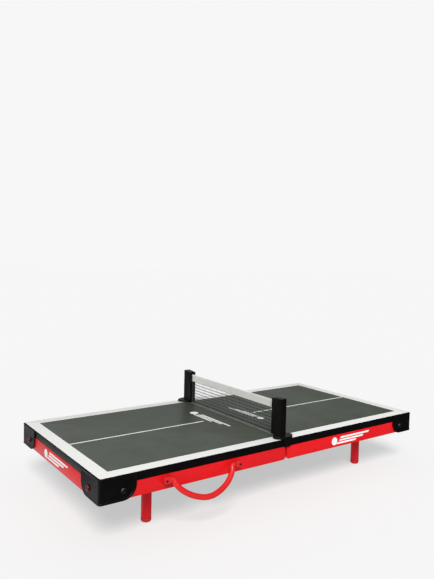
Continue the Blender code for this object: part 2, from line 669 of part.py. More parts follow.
def make_post(edge):
    """A net post moulded in one with its base, its skirt and the tongue in the seam."""
    top = SURFACE_HEIGHT + POST_HEIGHT
    outline = [(edge * POST_INNER_Y, POST_BOTTOM), (edge * POST_OUTER_Y, POST_BOTTOM),
               (edge * POST_OUTER_Y, top), (edge * (POST_OUTER_Y - POST_TOP_FLAT), top),
               (edge * POST_INNER_Y, top - POST_TOP_FALL)]
    bm = prism(outline, "X", -POST_THICKNESS / 2, POST_THICKNESS / 2)
    post = add_piece(EDGES[edge] + "_net_post", bm, "net_set", MOULDED_BLACK)

    outer_y = HALF_WIDTH + FIT + SKIRT_THICKNESS
    centre_y = outer_y - BASE_HALF_WIDTH
    oval = [(BASE_HALF_LENGTH * math.cos(t), edge * (centre_y + BASE_HALF_WIDTH * math.sin(t)))
            for t in (math.tau * i / 24 for i in range(24))]
    base_low = SURFACE_HEIGHT + FIT
    combine(post, prism(oval, "Z", base_low, POST_BOTTOM + FIT), "UNION")

    skirt = box((-SKIRT_WIDTH / 2, SKIRT_WIDTH / 2),
                ordered(edge * (HALF_WIDTH + FIT), edge * outer_y),
                (PANEL_BOTTOM, POST_BOTTOM - FIT))
    combine(post, skirt, "UNION")

    tongue = box((-TONGUE_THICKNESS / 2, TONGUE_THICKNESS / 2),
                 ordered(edge * (centre_y - TONGUE_LENGTH / 2), edge * (centre_y + TONGUE_LENGTH / 2)),
                 (PANEL_BOTTOM + FIT, base_low + FIT))
    combine(post, tongue, "UNION")

    slot_y = POST_INNER_Y + HEM_IN_POST + FIT
    slot_half = HEM_THICKNESS / 2 + FIT
    slot = box((-slot_half, slot_half), ordered(edge * (POST_INNER_Y - 0.002), edge * slot_y),
               (SURFACE_HEIGHT, top + 0.002))
    combine(post, slot, "DIFFERENCE")


def make_net():
    """The net: a tape along the top, the mesh, a bottom cord and a hem at each end."""
    end_y = POST_INNER_Y + HEM_IN_POST
    inner_y = end_y - HEM_WIDTH
    hem_top = TAPE_BOTTOM - FIT
    cord_height = SURFACE_HEIGHT + NET_CLEARANCE + NET_CORD_RADIUS
    net_bottom = cord_height + NET_CORD_RADIUS + FIT
    tape = box((-TAPE_THICKNESS / 2, TAPE_THICKNESS / 2), (-end_y, end_y), (TAPE_BOTTOM, TAPE_TOP))
    add_piece("net_tape", tape, "net_set", TAPE_WHITE)
    mesh = box((-NET_THICKNESS / 2, NET_THICKNESS / 2),
               (FIT - inner_y, inner_y - FIT), (net_bottom, hem_top))
    add_piece("net_mesh", mesh, "net_set", NET_BLACK)
    cord = rod(NET_CORD_RADIUS, (0, FIT - inner_y, cord_height), (0, inner_y - FIT, cord_height), 8)
    add_piece("net_bottom_cord", cord, "net_set", NET_BLACK)
    for edge in EDGES:
        hem = box((-HEM_THICKNESS / 2, HEM_THICKNESS / 2),
                  ordered(edge * inner_y, edge * end_y),
                  (SURFACE_HEIGHT + NET_CLEARANCE, hem_top))
        add_piece(EDGES[edge] + "_net_hem", hem, "net_set", NET_BLACK)


# ---------------------------------------------------------------- assembly

def add_bodies():
    add_body("table", Vector((0, 0, 0)))
    add_body("left_half", Vector((0, 0, 0)), "table")
    add_body("right_half", Vector((0, 0, FOLD_HEIGHT)), "table")
    add_body("left_legs", Vector((-LEG_X, 0, LEG_PIVOT_HEIGHT)), "left_half")
    add_body("right_legs", Vector((LEG_X, 0, LEG_PIVOT_HEIGHT)), "right_half")
    add_body("handle", Vector((HANDLE_X, HANDLE_Y, HANDLE_HEIGHT)), "left_half")
    add_body("net_set", Vector((0, 0, SURFACE_HEIGHT)), "left_half")
    bodies["table"][0].location.y = TABLE_Y


def main():
    clear_scene()
    add_bodies()
    rails = {side: make_half(side) for side in SIDES}
    make_hinges()
    for side in SIDES:
        make_legs(side)
    shoulder = make_handle()
    for side in SIDES:
        make_handle_boss(side, shoulder, rails[LEFT][FRONT])
    for edge in EDGES:
        make_post(edge)
    make_net()


main()
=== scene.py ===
# %% [markdown]
# # A small folding table-tennis table
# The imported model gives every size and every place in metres, so this lesson starts
# by loading it. The rest of the file makes a finer piece for each plain solid: the
# boards, the corner caps, the legs, the handle and the net. Each piece is modelled
# the way a person would model it by hand, then it gets the finish of the real thing.

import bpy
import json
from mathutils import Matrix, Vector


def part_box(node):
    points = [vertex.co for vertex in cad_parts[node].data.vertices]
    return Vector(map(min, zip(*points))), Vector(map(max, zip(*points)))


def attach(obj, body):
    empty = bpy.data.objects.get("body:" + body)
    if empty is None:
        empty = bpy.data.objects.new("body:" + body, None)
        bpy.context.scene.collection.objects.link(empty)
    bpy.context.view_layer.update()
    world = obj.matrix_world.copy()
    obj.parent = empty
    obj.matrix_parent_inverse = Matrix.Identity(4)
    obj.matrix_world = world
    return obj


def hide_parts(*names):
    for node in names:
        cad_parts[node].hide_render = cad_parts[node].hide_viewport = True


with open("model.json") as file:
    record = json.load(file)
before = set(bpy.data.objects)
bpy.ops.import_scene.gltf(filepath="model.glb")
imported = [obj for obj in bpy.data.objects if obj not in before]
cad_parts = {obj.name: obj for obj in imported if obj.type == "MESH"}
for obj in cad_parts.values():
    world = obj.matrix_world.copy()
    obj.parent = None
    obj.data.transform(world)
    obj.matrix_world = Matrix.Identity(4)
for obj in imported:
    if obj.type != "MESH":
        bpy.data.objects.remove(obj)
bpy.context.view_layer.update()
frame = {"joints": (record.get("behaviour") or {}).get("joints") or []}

# %% Blender's own modules
import json
import math
import random

import bmesh
import bpy
from mathutils import Matrix, Vector

MM = 0.001
CLOSE = 0.02 * MM        # two places this near are the same place
random.seed(11)

# %% [markdown]
# ## Where things are
# Every place below is read from a node's box. The table is symmetrical about the
# seam at x = 0, and about a line a little to the back of y = 0, because the origin
# is under the middle of the whole footprint and the handle sticks out in front.

# %% Main places
PANEL_LOW, PANEL_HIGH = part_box("right_playing_panel")
SURFACE = PANEL_HIGH.z
HALF_LENGTH = PANEL_HIGH.x
MIDDLE_Y = (PANEL_LOW.y + PANEL_HIGH.y) / 2
HALF_WIDTH = (PANEL_HIGH.y - PANEL_LOW.y) / 2
RAIL_LOW, RAIL_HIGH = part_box("right_front_rail")
JOINTS = {joint["name"]: joint for joint in frame["joints"]}
SIDES = {"left": -1, "right": 1}
EDGES = {"front": -1, "back": 1}
print(f"top {2000 * HALF_LENGTH:.0f} x {2000 * HALF_WIDTH:.0f} mm, {1000 * SURFACE:.0f} mm high")

# %% [markdown]
# ## Camera
# The camera stands off the front left corner, a little above the table. It could be
# pointed at a target with a constraint, but a heading, a tilt down and a small roll
# say the same in three plain numbers. The lens is a short one, which makes the near
# corner look large.

# %% Camera
CAMERA_PLACE = (-0.5730, -0.7366, 0.3442)
CAMERA_HEADING = 35.97   # degrees from +Y towards +X
CAMERA_TILT = 2.65       # degrees down
CAMERA_ROLL = 1.36
LENS = 35.49             # mm
SENSOR_WIDTH = 36        # mm

camera = bpy.data.objects.new("camera", bpy.data.cameras.new("camera"))
bpy.context.scene.collection.objects.link(camera)
bpy.context.scene.camera = camera
camera.data.lens = LENS
camera.data.sensor_width = SENSOR_WIDTH
heading = Matrix.Rotation(math.radians(-CAMERA_HEADING), 4, "Z")
tilt = Matrix.Rotation(math.radians(90 - CAMERA_TILT), 4, "X")
roll = Matrix.Rotation(math.radians(CAMERA_ROLL), 4, "Z")
camera.matrix_world = Matrix.Translation(CAMERA_PLACE) @ heading @ tilt @ roll
print("camera:", LENS, "mm lens")

# %% [markdown]
# ## Colours and nodes
# Colours are picked as sRGB hex values, because that is what a colour picker gives.
# Shaders work in linear light, so one function turns them. One more function adds a
# node with its settings, its values and its links, and every material uses it.

# %% Colour and node helpers
def linear(hex_colour):
    """Turn an sRGB hex colour into the linear colour that a shader works in."""
    channels = [int(hex_colour[i:i + 2], 16) / 255 for i in (1, 3, 5)]
    return (*[c / 12.92 if c <= 0.04045 else ((c + 0.055) / 1.055) ** 2.4 for c in channels], 1)


def add_node(tree, kind, links=None, values=None, **settings):
    """Add a node: settings are its properties, values its sockets, links what feeds them."""
    node = tree.nodes.new("ShaderNode" + kind)
    for name, value in settings.items():
        setattr(node, name, value)
    for socket, value in (values or {}).items():
        node.inputs[socket].default_value = value
    for socket, source in (links or {}).items():
        tree.links.new(source, node.inputs[socket])
    return node


def start_material(name, colour, roughness, **sockets):
    """A material with the plain values of the real stuff: IOR_Level is socket IOR Level."""
    material = bpy.data.materials.new(name)
    material.use_nodes = True
    tree = material.node_tree
    shader = tree.nodes["Principled BSDF"]
    shader.inputs["Base Color"].default_value = linear(colour)
    shader.inputs["Roughness"].default_value = roughness
    for socket, value in sockets.items():
        shader.inputs[socket.replace("_", " ")].default_value = value
    place = add_node(tree, "TexCoord").outputs["Object"]
    return material, tree, shader, place


print("helpers: linear, add_node, start_material")

# %% [markdown]
# ## Two patterns that most finishes share
# Nearly every coated or moulded surface has a fine relief: orange peel in film and
# powder coat, spark-eroded grain in moulded plastic. A noise node whose scale comes
# from the real grain size drives a bump. A second, much larger noise changes the
# roughness a little, as handling and cleaning do.

# %% Relief and handling marks
def add_relief(tree, shader, place, grain_mm, depth_mm, detail=2.0, below=None):
    """Raise a fine grain of a real size on the surface, on top of another bump below."""
    noise = add_node(tree, "TexNoise", {"Vector": place},
                     {"Scale": 1 / (grain_mm * MM), "Detail": detail, "Roughness": 0.55})
    links = {"Height": noise.outputs["Fac"]}
    if below:
        links["Normal"] = below.outputs["Normal"]
    bump = add_node(tree, "Bump", links, {"Strength": 1.0, "Distance": depth_mm * MM})
    tree.links.new(bump.outputs["Normal"], shader.inputs["Normal"])


def add_handling(tree, shader, place, low, high, patch_mm=45):
    """Let the roughness drift between two values over patches of a real size."""
    noise = add_node(tree, "TexNoise", {"Vector": place},
                     {"Scale": 1 / (patch_mm * MM), "Detail": 5.0, "Roughness": 0.6})
    drift = add_node(tree, "MapRange", {"Value": noise.outputs["Fac"]},
                     {"From Min": 0.3, "From Max": 0.7, "To Min": low, "To Max": high})
    tree.links.new(drift.outputs["Result"], shader.inputs["Roughness"])


def add_mottle(tree, shader, place, dark, light, patch_mm, stretch=(1, 1, 1)):
    """Let the colour drift between two hex colours; stretch makes patches long."""
    turn = add_node(tree, "Mapping", {"Vector": place}, {"Scale": stretch})
    noise = add_node(tree, "TexNoise", {"Vector": turn.outputs["Vector"]},
                     {"Scale": 1 / (patch_mm * MM), "Detail": 6.0, "Roughness": 0.65})
    ramp = add_node(tree, "ValToRGB", {"Fac": noise.outputs["Fac"]})
    ramp.color_ramp.elements[0].position = 0.35
    ramp.color_ramp.elements[0].color = linear(dark)
    ramp.color_ramp.elements[1].position = 0.65
    ramp.color_ramp.elements[1].color = linear(light)
    tree.links.new(ramp.outputs["Color"], shader.inputs["Base Color"])
    return ramp


print("patterns: relief, handling, mottle")

# %% [markdown]
# ## Printed playing surface
# The top is fibreboard with a dark green ink rolled on, and white lines screen
# printed over it. The lines could be cut as separate faces, but printed ink has no
# thickness to speak of, so the shader works them out from the place on the table:
# a white border along the outer edges, a thin line down the middle that stops short
# of the printed badges, and a pale line along the seam: a painted highlight for the
# light that the eased edges of the seam catch.

# %% Printed board
BORDER = 18 * MM
CENTRE_LINE = 3.2 * MM
SEAM_LINE = (1.1 * MM, 2.6 * MM)     # from the seam's middle
LINE_STOPS = 52 * MM                 # the centre line ends here, beside the badges
INK_GREEN = "#353d32"
INK_GREEN_WORN = "#3e463a"
INK_WHITE = "#ebebe8"
# painted highlight: the pale colour of the band beside the seam
PAINTED_SEAM_HIGHLIGHT = "#9ba098"

printed_board, tree, shader, place = start_material("printed fibreboard", INK_GREEN, 0.38, IOR=1.5)
table_middle = add_node(tree, "Mapping", {"Vector": place}, {"Location": (0, -MIDDLE_Y, 0)})
axes = add_node(tree, "SeparateXYZ", {"Vector": table_middle.outputs["Vector"]})
along = add_node(tree, "Math", {0: axes.outputs["X"]}, operation="ABSOLUTE").outputs[0]
across = add_node(tree, "Math", {0: axes.outputs["Y"]}, operation="ABSOLUTE").outputs[0]


masks = {}
for name, value, operation, limit in (
        ("end border", along, "GREATER_THAN", HALF_LENGTH - BORDER),
        ("side border", across, "GREATER_THAN", HALF_WIDTH - BORDER),
        ("centre line", across, "LESS_THAN", CENTRE_LINE / 2),
        ("clear of the badges", along, "GREATER_THAN", LINE_STOPS),
        ("past the seam", along, "GREATER_THAN", SEAM_LINE[0]),
        ("beside the seam", along, "LESS_THAN", SEAM_LINE[1])):
    masks[name] = add_node(tree, "Math", {0: value}, {1: limit}, operation=operation).outputs[0]
for name, first, second, operation in (
        ("border", "end border", "side border", "MAXIMUM"),
        ("line", "centre line", "clear of the badges", "MULTIPLY"),
        ("white", "border", "line", "MAXIMUM"),
        ("seam", "past the seam", "beside the seam", "MULTIPLY")):
    masks[name] = add_node(tree, "Math", {0: masks[first], 1: masks[second]},
                           operation=operation).outputs[0]
ink = add_mottle(tree, shader, place, INK_GREEN, INK_GREEN_WORN, 60)
# Painted highlight: the band beside the seam is mixed to a pale colour over the ink.
pale = add_node(tree, "Mix", {"Factor": masks["seam"], 6: ink.outputs["Color"]},
                {7: linear(PAINTED_SEAM_HIGHLIGHT)}, data_type="RGBA")
lines = add_node(tree, "Mix", {"Factor": masks["white"], 6: pale.outputs[2]},
                 {7: linear(INK_WHITE)}, data_type="RGBA")
tree.links.new(lines.outputs[2], shader.inputs["Base Color"])
add_handling(tree, shader, place, 0.34, 0.46, 70)
ink_edge = add_node(tree, "Bump", {"Height": masks["white"]}, {"Strength": 0.5, "Distance": 0.02 * MM})
add_relief(tree, shader, place, 0.9, 0.012, 3.0, ink_edge)
print("material:", printed_board.name)

# %% [markdown]
# ## Board edges and undersides
# The panel's edge is painted black by hand with a foam roller, so it is satin and a
# little lumpy. The underside shows bare hardboard: brown, with short dark fibres. The
# rails are the same fibreboard with a red film on the outer faces, glossy and with a
# slight orange peel where the film follows the board.

# %% Edge paint, bare board and red film
edge_paint, tree, shader, place = start_material("black edge paint", "#09090a", 0.42,
                                                Specular_IOR_Level=0.2)
add_mottle(tree, shader, place, "#070708", "#0c0c0c", 25)
add_handling(tree, shader, place, 0.36, 0.50)
add_relief(tree, shader, place, 1.4, 0.02)

bare_board, tree, shader, place = start_material("bare hardboard", "#7a5638", 0.72)
add_mottle(tree, shader, place, "#6a4930", "#8f6a48", 1.6, (1, 1.8, 1))
add_relief(tree, shader, place, 0.8, 0.05, 4.0)

red_film, tree, shader, place = start_material("red laminate film", "#d70f17", 0.30,
                                               Specular_IOR_Level=0.4)
add_mottle(tree, shader, place, "#d20d15", "#dc1119", 80)
add_handling(tree, shader, place, 0.26, 0.36)
add_relief(tree, shader, place, 1.6, 0.008)
print("materials: edge paint, bare board, red film")

# %% [markdown]
# ## Moulded plastics
# The caps and the net posts are black ABS from a mould with a fine spark-eroded
# grain, so they are satin and nearly free of colour. The handle and its bosses are
# red polypropylene: smoother, and it lets a little light in, which softens it.

# %% Moulded plastics
black_abs, tree, shader, place = start_material("black moulded ABS", "#09090a", 0.40,
                                                Specular_IOR_Level=0.2)
add_mottle(tree, shader, place, "#080808", "#0d0d0c", 15)
add_handling(tree, shader, place, 0.35, 0.46)
add_relief(tree, shader, place, 0.45, 0.012)

red_plastic, tree, shader, place = start_material(
    "red moulded polypropylene", "#d31c1d", 0.36, IOR=1.49, Subsurface_Weight=0.08,
    Subsurface_Radius=(1.2 * MM, 0.4 * MM, 0.3 * MM), Subsurface_Scale=1.0)
add_mottle(tree, shader, place, "#ce191b", "#d81f20", 20)
add_handling(tree, shader, place, 0.32, 0.44, 20)
add_relief(tree, shader, place, 0.7, 0.012)
print("materials: ABS, polypropylene")

# %% [markdown]
# ## Metals and rubber
# The legs are steel tube under a dark red powder coat, which flows into a fine
# orange peel. Their feet are red rubber, duller than the coat. Side screws are steel
# under black zinc, a dark half-matt grey, and end screws are coloured dark red, with
# a small hard shine. Hinges and clips are plain bright zinc, whose crystals show as
# slightly lighter and darker patches.

# %% Metals and rubber
powder_coat, tree, shader, place = start_material("red powder coat", "#cb101b", 0.36,
                                                  Specular_IOR_Level=0.2)
add_mottle(tree, shader, place, "#c50e19", "#d1121d", 25)
add_handling(tree, shader, place, 0.30, 0.42, 18)
add_relief(tree, shader, place, 0.8, 0.03)

red_rubber, tree, shader, place = start_material("red rubber", "#b80e1b", 0.58)
add_mottle(tree, shader, place, "#ae0c18", "#c0101d", 6)
add_relief(tree, shader, place, 0.35, 0.02)
add_handling(tree, shader, place, 0.5, 0.66, 8)

black_zinc, tree, shader, place = start_material("black zinc on steel", "#55565a", 0.5,
                                                 Metallic=1.0)
add_mottle(tree, shader, place, "#4c4d50", "#606164", 1.5)
add_handling(tree, shader, place, 0.42, 0.58, 3)
add_relief(tree, shader, place, 0.3, 0.006)

# End screws: a plain dark red colour with a small shine.
dark_red_screw, tree, shader, place = start_material("dark red screw colour", "#5e0d18", 0.34)
add_mottle(tree, shader, place, "#560b15", "#68101b", 1.5)
add_handling(tree, shader, place, 0.28, 0.42, 3)
add_relief(tree, shader, place, 0.3, 0.008)

bright_zinc, tree, shader, place = start_material("bright zinc plate", "#b9bab6", 0.30,
                                                  Metallic=1.0)
add_mottle(tree, shader, place, "#a5a7a4", "#c6c7c2", 1.8)
add_handling(tree, shader, place, 0.22, 0.40, 2.5)
add_relief(tree, shader, place, 0.5, 0.008)
print("materials: powder coat, rubber, zinc")

# %% [markdown]
# ## Wood, cloth and cord
# The battens are sawn pine, with growth rings stretched along the wood. The tape is
# cotton in a plain weave of about half a millimetre, drawn a little coarse so that it
# shows. Its thread is smoother and whiter. The net, its cord and its side bands are
# black polyester, dull with a faint bloom along the edges, and the badge ink is flat
# and milky, because it is rubbed through a screen in one pass.

# %% Pine
WAVE_PERIOD = 0.314      # metres between the bands of a wave texture whose scale is 1
RING_PITCH = 3.3 * MM
ALONG_WOOD = (1, 0.05, 1)

sawn_pine, tree, shader, place = start_material("sawn pine", "#c9a06c", 0.66)
grain = add_node(tree, "Mapping", {"Vector": place}, {"Scale": ALONG_WOOD})
rings = add_node(tree, "TexWave", {"Vector": grain.outputs["Vector"]},
                 {"Scale": WAVE_PERIOD / RING_PITCH, "Distortion": 5.0, "Detail": 3.0,
                  "Detail Scale": 2.0},
                 wave_type="RINGS", rings_direction="Y")
ring_colour = add_node(tree, "ValToRGB", {"Fac": rings.outputs["Fac"]})
ring_colour.color_ramp.elements[0].color = linear("#b98a55")
ring_colour.color_ramp.elements[1].color = linear("#dab582")
tree.links.new(ring_colour.outputs["Color"], shader.inputs["Base Color"])
add_relief(tree, shader, place, 0.7, 0.06, 4.0)
print("material:", sawn_pine.name)

# %% Cloth and cord
THREAD = 0.55 * MM


def add_weave(tree, shader, place, depth_mm):
    """Cross the threads that run along Y with those along Z, as a bump."""
    across, upright = [
        add_node(tree, "TexWave", {"Vector": place},
                 {"Scale": WAVE_PERIOD / (2 * THREAD), "Distortion": 0.6, "Detail": 1.0},
                 wave_type="BANDS", bands_direction=axis, wave_profile="SIN")
        for axis in "YZ"]
    height = add_node(tree, "Math", {0: across.outputs["Fac"], 1: upright.outputs["Fac"]},
                      operation="ADD").outputs[0]
    bump = add_node(tree, "Bump", {"Height": height}, {"Strength": 0.8, "Distance": depth_mm * MM})
    tree.links.new(bump.outputs["Normal"], shader.inputs["Normal"])
    return height


cotton_tape, tree, shader, place = start_material("woven cotton tape", "#dddcd6", 0.85,
                                                  Sheen_Weight=0.25)
threads = add_weave(tree, shader, place, 0.12)
# The weave's height also sets the colour, darker where the threads dip and lighter on their crowns:
# painted shade and painted highlight of the weave.
weave_shade = add_node(tree, "ValToRGB", {"Fac": threads})
weave_shade.color_ramp.elements[0].color = linear("#c3c2bc")
weave_shade.color_ramp.elements[1].color = linear("#e6e5e0")
tree.links.new(weave_shade.outputs["Color"], shader.inputs["Base Color"])

cotton_thread, tree, shader, place = start_material("white sewing thread", "#e4e3de", 0.8)
add_mottle(tree, shader, place, "#d9d8d2", "#ecebe7", 0.8)
add_relief(tree, shader, place, 0.3, 0.05)

black_band, tree, shader, place = start_material("black woven band", "#101011", 0.82,
                                                 Sheen_Weight=0.2)
add_mottle(tree, shader, place, "#0c0c0d", "#171718", 2.5)
add_weave(tree, shader, place, 0.10)

black_twine, tree, shader, place = start_material("black polyester twine", "#0d0d0e", 0.7,
                                                  Sheen_Weight=0.15)
add_relief(tree, shader, place, 0.4, 0.08, 3.0)
add_mottle(tree, shader, place, "#0a0a0b", "#151516", 3)

white_ink, tree, shader, place = start_material("white screen ink", "#f1efec", 0.42)
add_mottle(tree, shader, place, "#e9e7e3", "#f4f3f0", 12)
add_relief(tree, shader, place, 0.6, 0.01)
print("materials: tape, band, twine, ink")

# %% [markdown]
# ## Modelling helpers
# Every operator acts on what is selected, and a new primitive is selected all over.
# So a piece is taken by itself first, and then faces or edges are picked in code by
# their place or by the way they look, exactly as a person clicks them.

# %% Selecting
def take_none():
    """Leave edit mode and deselect everything."""
    if bpy.context.mode != "OBJECT":
        bpy.ops.object.mode_set(mode="OBJECT")
    bpy.ops.object.select_all(action="DESELECT")


def take(piece):
    """Leave edit mode and select one object by itself."""
    take_none()
    piece.select_set(True)
    bpy.context.view_layer.objects.active = piece
    return piece


def pick(piece, kind, test):
    """In edit mode, select only the VERT, EDGE or FACE items that pass a test."""
    if bpy.context.mode == "OBJECT":
        take(piece)
        bpy.ops.object.mode_set(mode="EDIT")
    bpy.context.tool_settings.mesh_select_mode = [kind == k for k in ("VERT", "EDGE", "FACE")]
    bpy.ops.mesh.select_all(action="DESELECT")
    mesh = bmesh.from_edit_mesh(piece.data)
    items = {"VERT": mesh.verts, "EDGE": mesh.edges, "FACE": mesh.faces}[kind]
    for item in items:
        if test(item):
            item.select_set(True)
    mesh.select_flush_mode()
    bmesh.update_edit_mesh(piece.data)


def middle(item):
    """The middle of an edge or a face."""
    places = [vert.co for vert in item.verts]
    return sum(places, Vector()) / len(places)


def runs(edge, axis):
    """True if an edge runs along X, Y or Z."""
    span = edge.verts[1].co - edge.verts[0].co
    return abs(span["XYZ".index(axis)]) > 0.999 * span.length


def near(a, b, reach=CLOSE):
    """True if two numbers are nearly the same."""
    return abs(a - b) < reach


def level(edge, z):
    """True if both ends of an edge are at one height."""
    return all(near(vert.co.z, z) for vert in edge.verts)


print("helpers: take_none, take, pick, middle, runs, near, level")

# %% Adding, cutting and finishing
MERGE = 0.005 * MM       # two points this near are one
SMOOTH_ANGLE = 35        # degrees, where shading turns from smooth to flat


def settle():
    """Move the selected object's place, turn and size into its mesh."""
    bpy.ops.object.transform_apply(location=True, rotation=True, scale=True)
    return bpy.context.object


def add_block(low, high):
    """A cube stretched between two corners, with its size and place in its mesh."""
    low, high = Vector(low), Vector(high)
    take_none()
    bpy.ops.mesh.primitive_cube_add(size=1, location=(low + high) / 2)
    bpy.context.object.scale = high - low
    return settle()


def add_rod(start, end, radius, sides=32):
    """A cylinder between two points, with its place in its mesh."""
    start, end = Vector(start), Vector(end)
    turn = (end - start).to_track_quat("Z", "Y").to_euler()
    take_none()
    bpy.ops.mesh.primitive_cylinder_add(vertices=sides, radius=radius, depth=(end - start).length,
                                        location=(start + end) / 2, rotation=turn)
    return settle()


def extrude(x, y, z):
    """Extrude what is selected by a move."""
    bpy.ops.mesh.extrude_region_move(TRANSFORM_OT_translate={"value": (x, y, z)})


def clean_shell():
    """Merge the doubles of the mesh in edit mode and turn its faces outwards."""
    bpy.ops.mesh.select_all(action="SELECT")
    bpy.ops.mesh.remove_doubles(threshold=MERGE)
    bpy.ops.mesh.normals_make_consistent(inside=False)


def apply(piece, kind, **settings):
    """Add a modifier, set it, and apply it at once."""
    take(piece)
    modifier = piece.modifiers.new(kind.lower(), kind)
    for name, value in settings.items():
        setattr(modifier, name, value)
    bpy.ops.object.modifier_apply(modifier=modifier.name)
    return piece


def join_solid(piece, tool, operation):
    """Cut, join or intersect a piece with a tool, and throw the tool away."""
    apply(piece, "BOOLEAN", object=tool, operation=operation, solver="EXACT")
    bpy.data.objects.remove(tool, do_unlink=True)
    return piece


def soften(piece, width_mm, segments=3, angle=35):
    """Round every edge that is sharper than an angle in degrees, as a sander does."""
    return apply(piece, "BEVEL", width=width_mm * MM, segments=segments,
                 limit_method="ANGLE", angle_limit=math.radians(angle), harden_normals=False)


def finish(piece, name, body, materials, nodes=()):
    """Name a piece, give it its finish, and hang it on its body."""
    take(piece)
    piece.name = name
    piece.data.name = name
    if not isinstance(materials, (list, tuple)):
        materials = [materials]
    kept = [face.material_index for face in piece.data.polygons]
    piece.data.materials.clear()
    for material in materials:
        piece.data.materials.append(material)
    if len(materials) > 1:
        piece.data.polygons.foreach_set("material_index", kept)
    bpy.ops.object.shade_smooth_by_angle(angle=math.radians(SMOOTH_ANGLE))
    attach(piece, body)
    if nodes:
        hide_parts(*nodes)
    return piece


def another(piece):
    """A copy with its own mesh."""
    take(piece)
    bpy.ops.object.duplicate()
    return bpy.context.object


def put(piece, matrix):
    """Move a piece and keep its object at the origin, with the move in its mesh."""
    take(piece)
    piece.matrix_world = matrix
    return settle()


def copy_to(master, start_node, node):
    """Copy a piece made at one node to another, by the move between their boxes."""
    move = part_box(node)[0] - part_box(start_node)[0]
    return put(another(master), Matrix.Translation(move))


print("helpers: settle, add_block, add_rod, extrude, clean_shell, apply, join_solid")
print("helpers: soften, finish, another, put, copy_to")

# %% [markdown]
# ## The two playing panels
# Each panel is one board. Its outer corners are rounded by a router and its edges
# are only just eased, so the light catches a thin line along them. Three finishes
# meet on it, so its faces are sorted by the way they look: up, sideways or down.

# %% Panels
PANEL_CORNER = 2.5 * MM
TOP_EDGE = 0.4 * MM
LOWER_EDGE = 0.3 * MM


def make_panel(side):
    """One board: round corners at its outer end, eased edges, three finishes."""
    low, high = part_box(f"{side}_playing_panel")
    panel = add_block(low, high)
    outer = SIDES[side] * HALF_LENGTH
    pick(panel, "EDGE", lambda e: runs(e, "Z") and near(middle(e).x, outer))
    bpy.ops.mesh.bevel(offset=PANEL_CORNER, segments=10)
    pick(panel, "EDGE", lambda e: level(e, high.z))
    bpy.ops.mesh.bevel(offset=TOP_EDGE, segments=4)
    pick(panel, "EDGE", lambda e: level(e, low.z))
    bpy.ops.mesh.bevel(offset=LOWER_EDGE, segments=2)
    take(panel)
    for face in panel.data.polygons:
        face.material_index = 0 if face.normal.z > 0.7 else 2 if face.normal.z < -0.7 else 1
    return finish(panel, f"{side}_board", f"{side}_half",
                  [printed_board, edge_paint, bare_board], [f"{side}_playing_panel"])


for side in SIDES:
    print("panel:", make_panel(side).name)

# %% [markdown]
# ## The rails
# Four rails make a shallow box under each panel. The film wraps the outer face, the
# lower edge and the ends, and the inner face stays bare board, because nobody sees it
# until the table is turned over. The lower corners at the seam are cut round, to
# leave room for the hinge knuckles.

# %% Rails
SEAM_CUT = 4 * MM


def make_rail(side, where):
    """One rail: round at the table's corner, cut away at the seam, bare inside."""
    node = f"{side}_{where}_rail"
    low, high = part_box(node)
    sign = SIDES[side]
    rail = add_block(low, high)
    seam_x = low.x if side == "right" else high.x
    if where in EDGES:
        corner_y = low.y if where == "front" else high.y
        pick(rail, "EDGE", lambda e: runs(e, "Z") and near(middle(e).x, sign * HALF_LENGTH)
             and near(middle(e).y, corner_y))
        bpy.ops.mesh.bevel(offset=PANEL_CORNER, segments=10)
        inward = Vector((0, -EDGES[where], 0))
    else:
        inward = Vector((-sign if where == "end" else sign, 0, 0))
    if where != "end":
        pick(rail, "EDGE", lambda e: runs(e, "Y") and near(middle(e).x, seam_x)
             and near(middle(e).z, low.z))
        bpy.ops.mesh.bevel(offset=SEAM_CUT, segments=10)
    soften(rail, 0.35, 3)
    for face in rail.data.polygons:
        face.material_index = 1 if face.normal.dot(inward) > 0.8 else 0
    return finish(rail, f"{side}_{where}_apron", f"{side}_half",
                  [red_film, bare_board], [node])


for side in SIDES:
    for where in ("front", "back", "end", "seam"):
        make_rail(side, where)
print("rails: 8")

# %% [markdown]
# ## The corner caps
# A cap is a thin moulded shell that wraps a corner, with its lower inner corners cut
# round and a faint raised rim round each face. It could be bent from a strip, but a
# block hollowed by a second block keeps the wall even. The rim comes last: the outer
# faces are inset twice, and the second inset sinks a little.

# %% Caps
CAP_GAP = 0.3 * MM       # cap to board
CAP_WALL = 1.5 * MM
CAP_LIP = 0.9 * MM       # under the rails
SIDE_CUT = 18 * MM
END_CUT = 17 * MM
RIM = 2.2 * MM
RIM_SLOPE = 0.35 * MM
RIM_SINK = 0.28 * MM
PAST = 20 * MM           # tools reach this far past the cap


def round_upright(block, place, radius):
    """Round the upright edge of a block at an (x, y) place."""
    pick(block, "EDGE", lambda e: runs(e, "Z") and near(middle(e).x, place.x)
         and near(middle(e).y, place.y))
    bpy.ops.mesh.bevel(offset=radius, segments=12)
    return take(block)


def trim(cap, low, high, axis, inner, cut):
    """Round the lower inner corner of a cap, seen along X or Y, with a rounded block."""
    other = 1 - "XY".index(axis)
    tool_low = [low[i] if i == other and inner[i] == low[i] else low[i] - PAST for i in (0, 1)]
    tool_high = [high[i] if i == other and inner[i] == high[i] else high[i] + PAST for i in (0, 1)]
    tool = add_block((*tool_low, low.z), (*tool_high, high.z + PAST))
    pick(tool, "EDGE", lambda e: runs(e, axis) and near(middle(e).z, low.z)
         and near(middle(e)[other], inner[other]))
    bpy.ops.mesh.bevel(offset=cut, segments=14)
    join_solid(cap, take(tool), "INTERSECT")


